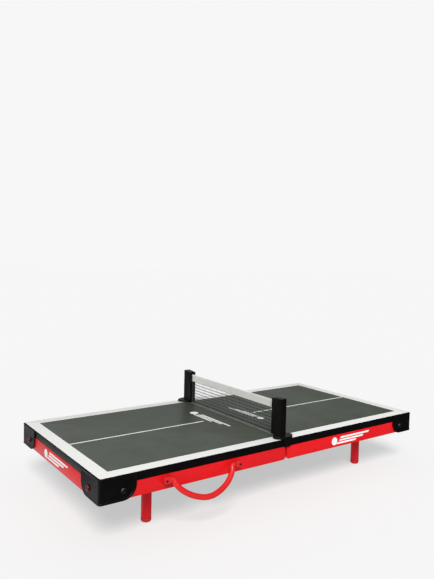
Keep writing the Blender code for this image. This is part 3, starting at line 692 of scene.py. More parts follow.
def make_cap(side, edge):
    """One cap: a block hollowed by a block, trimmed twice, with a raised rim."""
    node = f"{side}_{edge}_corner_cap"
    low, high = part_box(node)
    sx, sy = SIDES[side], EDGES[edge]
    corner = Vector((high.x if sx > 0 else low.x, high.y if sy > 0 else low.y))
    inner = Vector((low.x if sx > 0 else high.x, low.y if sy > 0 else high.y))
    cap = round_upright(add_block(low, high), corner, PANEL_CORNER + CAP_GAP + CAP_WALL)

    lining = corner - Vector((sx, sy)) * CAP_WALL
    beyond = inner - Vector((sx, sy)) * PAST
    xs, ys = sorted((lining.x, beyond.x)), sorted((lining.y, beyond.y))
    hollow = add_block((xs[0], ys[0], low.z + CAP_LIP), (xs[1], ys[1], high.z + PAST))
    join_solid(cap, round_upright(hollow, lining, PANEL_CORNER + CAP_GAP), "DIFFERENCE")
    for axis, cut in (("Y", SIDE_CUT), ("X", END_CUT)):
        trim(cap, low, high, axis, inner, cut)

    def is_skin(face):
        """True for the outer faces: on the end, on the side, or round the corner."""
        place = middle(face)
        facing_x, facing_y = sx * face.normal.x, sy * face.normal.y
        on_end = facing_x > 0.99 and near(place.x, corner.x)
        on_side = facing_y > 0.99 and near(place.y, corner.y)
        round_corner = facing_x > 0.01 and facing_y > 0.01 and (
            min(sx * (corner.x - place.x), sy * (corner.y - place.y)) < 0.9 * CAP_WALL)
        return abs(face.normal.z) < 0.01 and (on_end or on_side or round_corner)

    pick(cap, "FACE", is_skin)
    bpy.ops.mesh.inset(thickness=RIM, depth=0, use_even_offset=True)
    bpy.ops.mesh.inset(thickness=RIM_SLOPE, depth=-RIM_SINK, use_even_offset=True)
    soften(cap, 0.3, 3, 45)
    return finish(cap, f"{side}_{edge}_cap", f"{side}_half", black_abs, [node])


for side in SIDES:
    for edge in EDGES:
        print("cap:", make_cap(side, edge).name)

# %% [markdown]
# ## Screws
# A pan-head screw is a short cylinder whose upper edge is rounded almost to the
# middle. A cross recess is cut with two thin blocks, and the shank is drawn out of
# the underside to a point. One screw is modelled, and every other is a copy.

# %% Model one screw
CROSS_ARM = 0.58         # shares of the head's radius
CROSS_SLOT = 0.13
CROSS_DEPTH = 0.62       # share of the head's height
DOME = 0.8               # share of the head's height that is rounded
SHANK = ((0.8, 1.0), (0.2, 0.3))     # each stretch: share of the length, taper


def cut_cross(screw, head_radius, head_height):
    """Sink a cross recess in a screw's head with two thin blocks."""
    arm, slot = head_radius * CROSS_ARM, head_radius * CROSS_SLOT
    depth = head_height * CROSS_DEPTH
    for x, y in ((arm, slot), (slot, arm)):
        tool = add_block((-x, -y, head_height - depth), (x, y, head_height + depth))
        join_solid(screw, tool, "DIFFERENCE")


def master_screw(head_radius, head_height, shank_radius, length):
    """A screw that stands on z = 0 with its head up."""
    screw = add_rod((0, 0, 0), (0, 0, head_height), head_radius, 40)
    pick(screw, "EDGE", lambda e: level(e, head_height))
    bpy.ops.mesh.bevel(offset=head_height * DOME, segments=7)
    pick(screw, "FACE", lambda f: f.normal.z < -0.9)
    bpy.ops.mesh.inset(thickness=head_radius - shank_radius)
    for share, taper in SHANK:
        extrude(0, 0, -length * share)
        bpy.ops.transform.resize(value=(taper, taper, 1))
    cut_cross(screw, head_radius, head_height)
    return screw


HEAD_RADIUS = 4.0 * MM
HEAD_HEIGHT = 1.8 * MM
big_screw = master_screw(HEAD_RADIUS, HEAD_HEIGHT, shank_radius=1.5 * MM, length=8.9 * MM)
print("screw:", len(big_screw.data.polygons), "faces")

# %% Copy it to its eight places
def set_screw(master, node, outward, head_height, name, body, material):
    """Copy a screw to its node's box, with its head outwards and its cross anyhow."""
    low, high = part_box(node)
    seat = (low + high) / 2
    axis = max(range(3), key=lambda i: abs(outward[i]))
    seat[axis] = high[axis] if outward[axis] > 0 else low[axis]
    turn = outward.to_track_quat("Z", "Y").to_matrix().to_4x4()
    spin = Matrix.Rotation(random.uniform(0, math.pi / 2), 4, "Z")
    screw = put(another(master), Matrix.Translation(seat - outward * head_height) @ turn @ spin)
    return finish(screw, name, body, material, [node])


for side, sx in SIDES.items():
    for edge, sy in EDGES.items():
        name = f"{side}_{edge}_cap"
        set_screw(big_screw, f"{name}_side_screw", Vector((0, sy, 0)), HEAD_HEIGHT,
                  f"{name}_side_fixing", f"{side}_half", black_zinc)
        set_screw(big_screw, f"{name}_end_screw", Vector((sx, 0, 0)), HEAD_HEIGHT,
                  f"{name}_end_fixing", f"{side}_half", dark_red_screw)
bpy.data.objects.remove(big_screw, do_unlink=True)
print("cap screws: 8")

# %% [markdown]
# ## The legs
# Each leg frame is one steel tube bent twice. A bender works the same way as the
# spin tool: a ring is pulled up, spun round a quarter, pulled across, spun again and
# pulled down. The wall is added last, inwards, after the normals are put right. One
# frame is modelled, and each side gets a copy with its own mesh.

# %% Leg frames
LEG_RADIUS = 7 * MM
LEG_WALL = 1.2 * MM
LEG_BEND = 14 * MM


def pick_ring(tube, at):
    """Select the ring of the tube whose middle is at a place."""
    pick(tube, "VERT", lambda v: (v.co - Vector(at)).length < LEG_RADIUS * 1.01)


def pull(tube, at, y, z):
    """Pull a ring along by a move in Y and Z."""
    pick_ring(tube, at)
    extrude(0, y, z)


def bend(tube, at, centre):
    """Spin a ring a quarter turn, clockwise about an X axis through a centre."""
    pick_ring(tube, at)
    bpy.ops.mesh.spin(steps=12, angle=math.pi / 2, center=centre, axis=(1, 0, 0))


def make_leg_frame(node):
    """One tube: up, round a bend, across, round a bend and down."""
    low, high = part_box(node)
    x = (low.x + high.x) / 2
    front = low.y + LEG_RADIUS
    back = high.y - LEG_RADIUS
    pivot = high.z - LEG_RADIUS
    shoulder = pivot - LEG_BEND
    take_none()
    bpy.ops.mesh.primitive_circle_add(vertices=36, radius=LEG_RADIUS, location=(x, front, low.z))
    tube = settle()
    pull(tube, (x, front, low.z), 0, shoulder - low.z)
    bend(tube, (x, front, shoulder), (x, front + LEG_BEND, shoulder))
    pull(tube, (x, front + LEG_BEND, pivot), back - front - 2 * LEG_BEND, 0)
    bend(tube, (x, back - LEG_BEND, pivot), (x, back - LEG_BEND, shoulder))
    pull(tube, (x, back, shoulder), 0, low.z - shoulder)
    clean_shell()
    apply(tube, "SOLIDIFY", thickness=LEG_WALL, offset=-1)
    return soften(tube, 0.25, 2, 60)


one_tube = make_leg_frame("left_leg_frame")
for side in SIDES:
    node = f"{side}_leg_frame"
    tube = copy_to(one_tube, "left_leg_frame", node)
    finish(tube, f"{side}_leg_tube", f"{side}_legs", powder_coat, [node])
bpy.data.objects.remove(one_tube, do_unlink=True)
print("leg frames: 2,", [round(1000 * s) for s in tube.dimensions], "mm each")

# %% [markdown]
# ## The feet
# A rubber foot is a plug: a rounded shoe the width of the tube, and a spigot that
# pushes up inside it. The shoe is a cylinder with a large round on its lower edge,
# and a thin groove near its top where it meets the tube.

# %% Feet
FOOT_SHOE = 6.0 * MM
FOOT_ROUND = 2.9 * MM
FOOT_EASE = 0.35 * MM
SPIGOT_RADIUS = 5.5 * MM
SPIGOT_EASE = 0.8 * MM


def make_foot(node):
    """One foot: a shoe with a large round below, and a spigot drawn up from its top."""
    low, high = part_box(node)
    x, y = (low.x + high.x) / 2, (low.y + high.y) / 2
    foot = add_rod((x, y, low.z), (x, y, low.z + FOOT_SHOE), LEG_RADIUS, 36)
    pick(foot, "EDGE", lambda e: level(e, low.z))
    bpy.ops.mesh.bevel(offset=FOOT_ROUND, segments=8)
    pick(foot, "EDGE", lambda e: level(e, low.z + FOOT_SHOE))
    bpy.ops.mesh.bevel(offset=FOOT_EASE, segments=3)
    pick(foot, "FACE", lambda f: f.normal.z > 0.99)
    bpy.ops.mesh.inset(thickness=LEG_RADIUS - FOOT_EASE - SPIGOT_RADIUS)
    extrude(0, 0, high.z - low.z - FOOT_SHOE)
    bpy.ops.mesh.bevel(offset=SPIGOT_EASE, segments=3)
    return take(foot)


one_foot = make_foot("left_front_foot")
for side in SIDES:
    for edge in EDGES:
        node = f"{side}_{edge}_foot"
        foot = copy_to(one_foot, "left_front_foot", node)
        finish(foot, f"{side}_{edge}_shoe", f"{side}_legs", red_rubber, [node])
bpy.data.objects.remove(one_foot, do_unlink=True)
print("feet: 4,", [round(1000 * s, 1) for s in foot.dimensions], "mm each")

# %% [markdown]
# ## Saddle clips
# A clip is a strip of zinc-plated steel pressed over the tube. The strip is drawn
# flat, its edge is spun half a turn under the tube, and it is drawn out flat again.
# A solidify modifier then gives it its thickness, and small rivets hold it up.

# %% Clips
CLIP_WALL = 1.5 * MM
CLIP_BORE = LEG_RADIUS + 0.3 * MM
RIVET_RADIUS = 2.3 * MM
RIVET_HEIGHT = 1.4 * MM
RIVET_DOME = 1.0 * MM


def make_clip(node):
    """One clip: a flange, down, half round the tube, up, and the other flange."""
    low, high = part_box(node)
    x, y = (low.x + high.x) / 2, (low.y + high.y) / 2
    reach = CLIP_BORE + CLIP_WALL / 2         # strip's middle layer from the tube's axis
    flange = (high.x - low.x) / 2 - CLIP_BORE - CLIP_WALL
    axis_z = low.z + CLIP_BORE + CLIP_WALL
    top = high.z - CLIP_WALL / 2
    take_none()
    bpy.ops.mesh.primitive_plane_add(size=1, location=(x - reach - flange / 2, y, top))
    bpy.context.object.scale = (flange, high.y - low.y, 1)
    clip = settle()
    pick(clip, "EDGE", lambda e: runs(e, "Y") and near(middle(e).x, x - reach))
    extrude(0, 0, axis_z - top)
    bpy.ops.mesh.spin(steps=20, angle=math.pi, center=(x, y, axis_z), axis=(0, 1, 0))
    pick(clip, "EDGE", lambda e: runs(e, "Y") and near(middle(e).x, x + reach, 0.05 * MM)
         and near(middle(e).z, axis_z, 0.05 * MM))
    extrude(0, 0, top - axis_z)
    extrude(flange, 0, 0)
    clean_shell()
    apply(clip, "SOLIDIFY", thickness=CLIP_WALL, offset=0, use_even_offset=True)
    soften(clip, 0.3, 2, 50)
    for way in (-1, 1):
        seat = Vector((x + way * (CLIP_BORE + CLIP_WALL + flange / 2), y,
                       high.z - CLIP_WALL + 0.2 * MM))
        foot = seat - Vector((0, 0, RIVET_HEIGHT))
        rivet = add_rod(seat, foot, RIVET_RADIUS, 24)
        pick(rivet, "EDGE", lambda e: level(e, foot.z))
        bpy.ops.mesh.bevel(offset=RIVET_DOME, segments=4)
        join_solid(clip, take(rivet), "UNION")
    return clip


one_clip = make_clip("left_front_leg_clip")
for side in SIDES:
    for edge in EDGES:
        node = f"{side}_{edge}_leg_clip"
        clip = copy_to(one_clip, "left_front_leg_clip", node)
        finish(clip, f"{side}_{edge}_saddle", f"{side}_half", bright_zinc, [node])
bpy.data.objects.remove(one_clip, do_unlink=True)
print("clips: 4,", [round(1000 * s, 1) for s in clip.dimensions], "mm each")

# %% [markdown]
# ## The stop battens
# A batten across the box is what each pair of legs stands against. It is a sawn
# strip with its edges just broken, and two notches where the clips lie under it.

# %% Battens
NOTCH_GAP = 0.3 * MM


def make_batten(side):
    """One batten, notched for the flanges and the saddles of the two clips."""
    node = f"{side}_leg_stop_batten"
    low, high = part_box(node)
    batten = add_block(low, high)
    gap = Vector((NOTCH_GAP, NOTCH_GAP, NOTCH_GAP))
    for edge in EDGES:
        clip_low, clip_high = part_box(f"{side}_{edge}_leg_clip")
        flange_low = Vector((clip_low.x, clip_low.y, clip_high.z - CLIP_WALL)) - gap
        join_solid(batten, add_block(flange_low, clip_high + 6 * gap), "DIFFERENCE")
        reach = CLIP_BORE + CLIP_WALL + NOTCH_GAP
        x = (clip_low.x + clip_high.x) / 2
        saddle = add_block((x - reach, clip_low.y - NOTCH_GAP, low.z - 2 * MM),
                           (x + reach, clip_high.y + NOTCH_GAP, high.z + MM))
        join_solid(batten, saddle, "DIFFERENCE")
    soften(batten, 0.4, 2, 50)
    return finish(batten, f"{side}_batten", f"{side}_half", sawn_pine, [node])


for side in SIDES:
    print("batten:", make_batten(side).name)

# %% [markdown]
# ## The hinges
# Two butt hinges hang in the seam, with their pins just under the rails, so the
# halves can close with their undersides together. A leaf is a plate with fingers
# that roll into knuckles, and the knuckles of the two leaves take turns on the pin.

# %% Hinges
HINGE_LENGTH = 40 * MM
LEAF_FACES = (0.35 * MM, 1.3 * MM)   # a leaf's two faces, from the seam's middle
KNUCKLE_RADIUS = 3 * MM
KNUCKLES = 5
KNUCKLE_GAP = 0.4 * MM
PIN_RADIUS = 1.2 * MM
PIN_PLAY = 0.3 * MM
PIN_HEAD_RADIUS = 2.1 * MM
PIN_HEAD_THICKNESS = 0.8 * MM
FOLD_Z = JOINTS["fold"]["pos_m"][2]


def make_leaf(side, edge):
    """One leaf: a plate, its fingers and knuckles, bored in one go for the pin."""
    node = f"{edge}_hinge_{side}_leaf"
    low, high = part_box(node)
    pin_low, pin_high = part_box(f"{edge}_hinge_pin")
    first = (pin_low.y + pin_high.y) / 2 - HINGE_LENGTH / 2
    low_x, high_x = sorted(SIDES[side] * x for x in LEAF_FACES)
    web = FOLD_Z + KNUCKLE_RADIUS + PIN_PLAY
    finger_z = FOLD_Z + PIN_RADIUS + 2 * PIN_PLAY
    leaf = add_block((low_x, first, web), (high_x, first + HINGE_LENGTH, high.z))
    pitch = HINGE_LENGTH / KNUCKLES
    for i in range(0 if side == "left" else 1, KNUCKLES, 2):
        start = first + pitch * i + KNUCKLE_GAP / 2
        end = start + pitch - KNUCKLE_GAP
        finger = add_block((low_x, start, finger_z), (high_x, end, web + 0.5 * MM))
        join_solid(leaf, finger, "UNION")
        knuckle = add_rod((0, start, FOLD_Z), (0, end, FOLD_Z), KNUCKLE_RADIUS, 32)
        join_solid(leaf, knuckle, "UNION")
    bore = add_rod((0, low.y - MM, FOLD_Z), (0, high.y + MM, FOLD_Z), PIN_RADIUS + PIN_PLAY, 32)
    join_solid(leaf, bore, "DIFFERENCE")
    soften(leaf, 0.12, 2, 50)
    return finish(leaf, f"{edge}_hinge_{side}_plate", f"{side}_half",
                  bright_zinc, [node])


def make_pin(edge):
    """One pin: a rod with a rounded head pressed on at each end."""
    node = f"{edge}_hinge_pin"
    low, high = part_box(node)
    pin = add_rod((0, low.y + PIN_HEAD_THICKNESS, FOLD_Z),
                  (0, high.y - PIN_HEAD_THICKNESS, FOLD_Z), PIN_RADIUS, 24)
    for way, end in ((-1, low.y), (1, high.y)):
        root = end - way * (PIN_HEAD_THICKNESS + 0.05 * MM)
        head = add_rod((0, end, FOLD_Z), (0, root, FOLD_Z), PIN_HEAD_RADIUS, 24)
        pick(head, "EDGE", lambda e: all(near(v.co.y, end) for v in e.verts))
        bpy.ops.mesh.bevel(offset=0.5 * MM, segments=3)
        join_solid(pin, take(head), "UNION")
    return finish(pin, f"{edge}_hinge_rod", "left_half", bright_zinc, [node])


for edge in EDGES:
    for side in SIDES:
        make_leaf(side, edge)
    make_pin(edge)
print("hinges: 2")

# %% [markdown]
# ## The carrying handle
# The handle is a moulded bail: a round bar bent into a shallow bow, with a short stub
# at each end that turns in its boss. A bar that bends in one plane is easiest as a
# curve with a round bevel. The bow is an ellipse with slightly slimmer ends, and it
# rests a little way out from the rail, held by the friction of its stubs.

# %% Handle
HANDLE_RADIUS = 3.75 * MM
HANDLE_SPAN = 93 * MM
HANDLE_SAG = 31.8 * MM
HANDLE_FULLNESS = 1.16   # 1 is an ellipse, and more is slimmer at the ends
HANDLE_STEPS = 32
ROUNDED_OFF = 9          # the lowest points follow a parabola, so that the halves meet
HANDLE_TILT = 28         # degrees out from the rail
HANDLE_ELBOW = 4.8 * MM
STUB_RADIUS = 2.2 * MM
STUB_LENGTH = 3.4 * MM
COLLAR = 1.2 * MM
HANDLE_PIVOT = Vector(JOINTS["handle_swing"]["pos_m"])


def handle_line():
    """Points (along, down) of half a handle, from its stub to its lowest place."""
    first = math.asin((HANDLE_ELBOW / HANDLE_SAG) ** (1 / HANDLE_FULLNESS))
    bow = []
    for i in range(HANDLE_STEPS + 1):
        turn = first + (math.pi / 2 - first) * i / HANDLE_STEPS
        reach = max(math.cos(turn), 0) ** HANDLE_FULLNESS
        bow.append((-HANDLE_SPAN / 2 * reach, HANDLE_SAG * math.sin(turn) ** HANDLE_FULLNESS))
    join_x, join_drop = bow[HANDLE_STEPS - ROUNDED_OFF]
    for i in range(HANDLE_STEPS + 1 - ROUNDED_OFF, HANDLE_STEPS + 1):
        x = bow[i][0]
        bow[i] = (x, HANDLE_SAG - (HANDLE_SAG - join_drop) * (x / join_x) ** 2)
    elbow_x = bow[0][0] - HANDLE_ELBOW
    elbow = [(elbow_x + HANDLE_ELBOW * math.sin(t), HANDLE_ELBOW * (1 - math.cos(t)))
             for t in (math.pi / 2 * i / 8 for i in range(8))]
    shoulder = elbow_x - COLLAR
    return [(shoulder - STUB_LENGTH, 0.0), (shoulder, 0.0), (shoulder, 0.0)] + elbow + bow


def make_handle():
    """The bail: a round bar along the line, thinner at its two stubs."""
    half = handle_line()
    line = half + [(-x, drop) for x, drop in reversed(half[:-1])]
    radii = [STUB_RADIUS] * 2 + [HANDLE_RADIUS] * (len(line) - 4) + [STUB_RADIUS] * 2
    tilt = math.radians(HANDLE_TILT)
    down = Vector((0, -math.sin(tilt), -math.cos(tilt)))
    curve = bpy.data.curves.new("handle", "CURVE")
    curve.dimensions = "3D"
    curve.bevel_depth = 1.0
    curve.bevel_resolution = 8
    curve.use_fill_caps = True
    spline = curve.splines.new("POLY")
    spline.points.add(len(line) - 1)
    for point, (x, drop), radius in zip(spline.points, line, radii):
        point.co = (*(HANDLE_PIVOT + Vector((x, 0, 0)) + down * drop), 1)
        point.radius = radius
    handle = bpy.data.objects.new("handle", curve)
    bpy.context.scene.collection.objects.link(handle)
    take(handle)
    bpy.ops.object.convert(target="MESH")
    handle = bpy.context.object
    pick(handle, "VERT", lambda v: True)
    clean_shell()
    soften(handle, 0.35, 3, 50)
    return finish(handle, "bail_handle", "handle", red_plastic,
                  ["carrying_handle"])


handle = make_handle()
print("handle:", [round(1000 * s, 1) for s in handle.dimensions], "mm")

# %% [markdown]
# ## The handle's bosses
# Each boss is a small moulded block with a blind hole for the stub and one screw to
# the rail. Its outer edges are well rounded, because hands pass over it.

# %% Bosses
BOSS_ROUND = 1.6 * MM
STUB_PLAY = 0.3 * MM
SMALL_HEAD_HEIGHT = 0.8 * MM


def make_boss(side):
    """One boss, with the hole for its stub in the face that looks at the handle."""
    node = f"handle_{side}_boss"
    low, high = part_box(node)
    boss = add_block(low, high)
    pick(boss, "EDGE", lambda e: runs(e, "X") and near(middle(e).y, low.y))
    bpy.ops.mesh.bevel(offset=BOSS_ROUND, segments=6)
    mouth, way = (high.x, 1) if side == "left" else (low.x, -1)
    hole = add_rod((mouth + way * MM, HANDLE_PIVOT.y, HANDLE_PIVOT.z),
                   (mouth - way * (STUB_LENGTH + STUB_PLAY), HANDLE_PIVOT.y, HANDLE_PIVOT.z),
                   STUB_RADIUS + STUB_PLAY, 32)
    join_solid(boss, hole, "DIFFERENCE")
    soften(boss, 0.45, 3, 50)
    return finish(boss, f"handle_{side}_bracket", "left_half",
                  red_plastic, [node])


small_screw = master_screw(1.6 * MM, SMALL_HEAD_HEIGHT, shank_radius=0.9 * MM, length=14.9 * MM)
for side in SIDES:
    make_boss(side)
    set_screw(small_screw, f"handle_{side}_screw", Vector((0, -1, 0)), SMALL_HEAD_HEIGHT,
              f"handle_{side}_fixing", "left_half", black_zinc)
bpy.data.objects.remove(small_screw, do_unlink=True)
print("bosses: 2, screws: 2")

# %% [markdown]
# ## The net posts
# A post is moulded in one: an upright with a slanting top, an oval base that sits on
# the board, a skirt that laps over the edge, and a tongue that drops into the seam.
# Simple solids are joined into one skin first and rounded afterwards, so the corners
# between them are rounded too.

# %% Posts
POST_IN = 111 * MM       # the upright's two faces, from the table's middle
POST_OUT = 132 * MM
POST_HALF = 5.25 * MM
POST_TOP_FLAT = 4 * MM
POST_TOP_FALL = 1.5 * MM
BASE_LIFT = 0.3 * MM     # base above the board
BASE_THICKNESS = 3.0 * MM
BASE_HALF = (17 * MM, 11.5 * MM)
BASE_ROUND = 0.9 * MM
SKIRT_HALF = 7 * MM
SKIRT_THICKNESS = 2.4 * MM
SKIRT_ROUND = 2 * MM
TONGUE_HALF = (0.4 * MM, 7 * MM)
HEM_HALF = 1.3 * MM      # the slot that takes the net's end
HEM_REACH = (-2 * MM, 3.3 * MM)      # the slot, from the upright's inner face


def make_upright(inner, outer, top):
    """The upright, with the part of its top towards the net slanting down."""
    ends = sorted((inner, outer))
    low_z = SURFACE + BASE_LIFT + BASE_THICKNESS - MM
    upright = add_block((-POST_HALF, ends[0], low_z), (POST_HALF, ends[1], top))
    fold_y = outer + math.copysign(POST_TOP_FLAT, inner - outer)
    pick(upright, "FACE", lambda f: True)
    bpy.ops.mesh.bisect(plane_co=(0, fold_y, 0), plane_no=(0, 1, 0))
    pick(upright, "VERT", lambda v: near(v.co.y, inner) and near(v.co.z, top))
    bpy.ops.transform.translate(value=(0, 0, -POST_TOP_FALL))
    return upright


def make_base(centre):
    """The oval base, rounded along its upper edge."""
    low_z = SURFACE + BASE_LIFT
    take_none()
    bpy.ops.mesh.primitive_cylinder_add(vertices=64, radius=1, depth=BASE_THICKNESS,
                                        location=(0, centre, low_z + BASE_THICKNESS / 2))
    bpy.context.object.scale = (*BASE_HALF, 1)
    base = settle()
    pick(base, "EDGE", lambda e: level(e, low_z + BASE_THICKNESS))
    bpy.ops.mesh.bevel(offset=BASE_ROUND, segments=5)
    return take(base)


def make_post(edge):
    """One post: upright, base, skirt and tongue in one skin, slotted for the net."""
    node = f"{edge}_net_post"
    low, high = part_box(node)
    way = EDGES[edge]
    inner, outer = MIDDLE_Y + way * POST_IN, MIDDLE_Y + way * POST_OUT
    post = make_upright(inner, outer, high.z)
    skirt_out = low.y if way < 0 else high.y
    centre = skirt_out - way * BASE_HALF[1]
    join_solid(post, make_base(centre), "UNION")
    skirt_y = sorted((skirt_out, skirt_out - way * SKIRT_THICKNESS))
    skirt_top = SURFACE + BASE_LIFT + BASE_THICKNESS - MM
    skirt = add_block((-SKIRT_HALF, skirt_y[0], low.z), (SKIRT_HALF, skirt_y[1], skirt_top))
    pick(skirt, "EDGE", lambda e: runs(e, "Y") and near(middle(e).z, low.z))
    bpy.ops.mesh.bevel(offset=SKIRT_ROUND, segments=6)
    join_solid(post, take(skirt), "UNION")
    tongue_x, tongue_y = TONGUE_HALF
    tongue = add_block((-tongue_x, centre - tongue_y, low.z + 0.3 * MM),
                       (tongue_x, centre + tongue_y, SURFACE + MM))
    join_solid(post, tongue, "UNION")
    slot_y = sorted(inner + way * reach for reach in HEM_REACH)
    slot = add_block((-HEM_HALF, slot_y[0], SURFACE - MM), (HEM_HALF, slot_y[1], high.z + MM))
    join_solid(post, slot, "DIFFERENCE")
    soften(post, 0.28, 3, 40)
    return finish(post, f"{edge}_post", "net_set", black_abs, [node])


for edge in EDGES:
    post = make_post(edge)
    print("post:", post.name, len(post.data.polygons), "faces")

# %% [markdown]
# ## The net
# The net is knotted twine, stretched between the bands at its ends. It could be
# hundreds of small cylinders, but a grid with a wireframe modifier is one clean skin.
# Each strand gets a point or two more, and the twine is made thinner there than at its
# knots. The grid's inner knots are nudged a little, because no net hangs quite true.

# %% Net
ROW = 5.1 * MM            # between long strands
COLUMN = 3.6 * MM         # between upright strands
TWINE = 1.1 * MM          # across a knot
LONG_SHARE = 0.92         # a long strand between knots, as a share of that
SHORT_SHARE = 0.30        # an upright strand, spun finer
NUDGE = 0.12 * MM


def is_strand(edge, upright):
    """Tell the upright strands of the grid from the long ones."""
    span = edge.verts[1].co - edge.verts[0].co
    return (abs(span.z) > abs(span.y)) == upright


def make_net():
    """A grid of thin strands with thicker knots, made solid by a wireframe modifier."""
    low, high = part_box("net_mesh")
    width, height = high.y - low.y, high.z - low.z
    columns, rows = round(width / COLUMN), round(height / ROW)
    take_none()
    bpy.ops.mesh.primitive_grid_add(x_subdivisions=columns, y_subdivisions=rows, size=1)
    net = bpy.context.object
    net.scale = (width, height, 1)
    net.rotation_euler = (math.pi / 2, 0, math.pi / 2)
    net.location = (low + high) / 2
    settle()
    mesh = bmesh.new()
    mesh.from_mesh(net.data)
    layer = mesh.verts.layers.deform.verify()
    for vert in mesh.verts:
        vert[layer][0] = 1.0
        if low.y + CLOSE < vert.co.y < high.y - CLOSE and (
                low.z + CLOSE < vert.co.z < high.z - CLOSE):
            vert.co += Vector((0, random.uniform(-NUDGE, NUDGE), random.uniform(-NUDGE, NUDGE)))
    for upright, share, cuts in ((False, LONG_SHARE, 1), (True, SHORT_SHARE, 2)):
        strands = [e for e in mesh.edges if is_strand(e, upright)]
        made = bmesh.ops.bisect_edges(mesh, edges=strands, cuts=cuts)["geom_split"]
        for vert in (item for item in made if isinstance(item, bmesh.types.BMVert)):
            vert[layer][0] = share
    mesh.to_mesh(net.data)
    mesh.free()
    group = net.vertex_groups.new(name="twine")
    apply(net, "WIREFRAME", thickness=TWINE, vertex_group=group.name, use_even_offset=False,
          use_boundary=True, use_replace=True, thickness_vertex_group=0.0)
    apply(net, "SUBSURF", levels=1, render_levels=1)
    return finish(net, "knotted_net", "net_set", black_twine, ["net_mesh"])


net = make_net()

# %% [markdown]
# ## The tape and the side bands
# A strip of woven tape is folded over the top of the net and sewn through, and the
# net's ends are bound the same way in black. One function folds a strip: a long grid
# stands up as the near wall, its top edge is spun half a turn over, and the far wall
# is drawn down from it. Small waves keep it from looking like sheet metal.

# %% Fold a strip
WALL_ROWS = 6            # rows of faces down each wall
RIPPLE = 0.06 * MM
STITCH_PITCH = 3.4 * MM
STITCH_LENGTH = 0.62 * STITCH_PITCH
STITCH_WIDTH = 0.42 * MM
STITCH_PROUD = 0.12 * MM
STITCH_RISE = 1.6 * MM   # above the strip's open edge


def fold_strip(length, depth, gap, cloth, waves, pieces=64):
    """A strip folded over the X axis: open below, with its fold at the top, z = 0."""
    turn = gap / 2
    top = -turn - cloth / 2
    take_none()
    bpy.ops.mesh.primitive_grid_add(x_subdivisions=pieces, y_subdivisions=WALL_ROWS, size=1)
    strip = bpy.context.object
    strip.scale = (length, depth + top, 1)
    strip.rotation_euler = (math.pi / 2, 0, 0)
    strip.location = (0, -turn, (top - depth) / 2)
    settle()
    pick(strip, "EDGE", lambda e: runs(e, "X") and near(middle(e).z, top))
    bpy.ops.mesh.spin(steps=8, angle=math.pi, center=(0, 0, top), axis=(1, 0, 0))
    for _ in range(WALL_ROWS):
        extrude(0, 0, -(depth + top) / WALL_ROWS)
    clean_shell()
    take(strip)
    for vert in strip.data.vertices:
        turns = vert.co.x / length * math.tau * waves
        ripple = math.sin(turns) + 0.5 * math.sin(turns * 2.7 + 1)
        vert.co.y -= RIPPLE * ripple * vert.co.z / depth
    return apply(strip, "SOLIDIFY", thickness=cloth, offset=0)


def add_stitches(length, depth, gap):
    """Sew a row of small stitches through both walls of a strip, near its open side."""
    take_none()
    bpy.ops.mesh.primitive_uv_sphere_add(segments=8, ring_count=6, radius=0.5)
    bpy.context.object.scale = (STITCH_LENGTH, STITCH_WIDTH, STITCH_WIDTH)
    master = settle()
    count = int(length / STITCH_PITCH) - 1
    stitches = []
    for i in range(count):
        x = (i - (count - 1) / 2) * STITCH_PITCH
        for way in (-1, 1):
            place = Matrix.Translation((x, way * (gap / 2 + STITCH_PROUD), STITCH_RISE - depth))
            stitches.append(put(another(master), place))
    bpy.data.objects.remove(master, do_unlink=True)
    for stitch in stitches:
        stitch.select_set(True)
    bpy.context.view_layer.objects.active = stitches[0]
    bpy.ops.object.join()
    return bpy.context.object


print("helpers: fold_strip, add_stitches")

# %% Tape
CLOTH = 0.35 * MM
TAPE_LOW, TAPE_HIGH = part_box("net_tape")
TAPE_LENGTH = TAPE_HIGH.y - TAPE_LOW.y
TAPE_DEPTH = TAPE_HIGH.z - TAPE_LOW.z
TAPE_GAP = TAPE_HIGH.x - TAPE_LOW.x - CLOTH
tape_top = Matrix.Translation((0, MIDDLE_Y, TAPE_HIGH.z))
along_y = tape_top @ Matrix.Rotation(math.pi / 2, 4, "Z")
tape = put(fold_strip(TAPE_LENGTH, TAPE_DEPTH, TAPE_GAP, CLOTH, waves=5), along_y)
finish(tape, "folded_tape", "net_set", cotton_tape, ["net_tape"])
stitches = put(add_stitches(TAPE_LENGTH, TAPE_DEPTH, TAPE_GAP), along_y)
finish(stitches, "tape_stitching", "net_set", cotton_thread)
print("tape:", [round(1000 * s, 1) for s in tape.dimensions], "mm")

# %% Side bands
def make_band(edge):
    """One side band: a short strip stood on end, with its fold outwards."""
    node = f"{edge}_net_hem"
    low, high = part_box(node)
    way = EDGES[edge]
    outer = high.y if way > 0 else low.y
    strip = fold_strip(high.z - low.z, high.y - low.y, high.x - low.x - CLOTH, CLOTH,
                       waves=1, pieces=12)
    put(strip, Matrix(((0, 1, 0, 0), (0, 0, way, outer), (way, 0, 0, (low.z + high.z) / 2),
                       (0, 0, 0, 1))))
    return finish(strip, f"{edge}_side_band", "net_set", black_band, [node])


bands = [make_band(edge) for edge in EDGES]
print("bands:", [round(1000 * s, 1) for s in bands[0].dimensions], "mm")

# %% [markdown]
# ## The bottom cord
# A cord runs along the foot of the net. It is three strands twisted together: three
# small circles, side by side, drawn along by a screw modifier that turns them as it
# goes. The open ends are then filled.

# %% Bottom cord
CORD_STRAND = 0.36 * MM   # middle of a strand from the middle of the cord
CORD_SHARE = 0.93        # a strand's radius, as a share of that
CORD_TWIST = 6 * MM      # length of one full turn
CORD_STEPS = 12          # in a turn


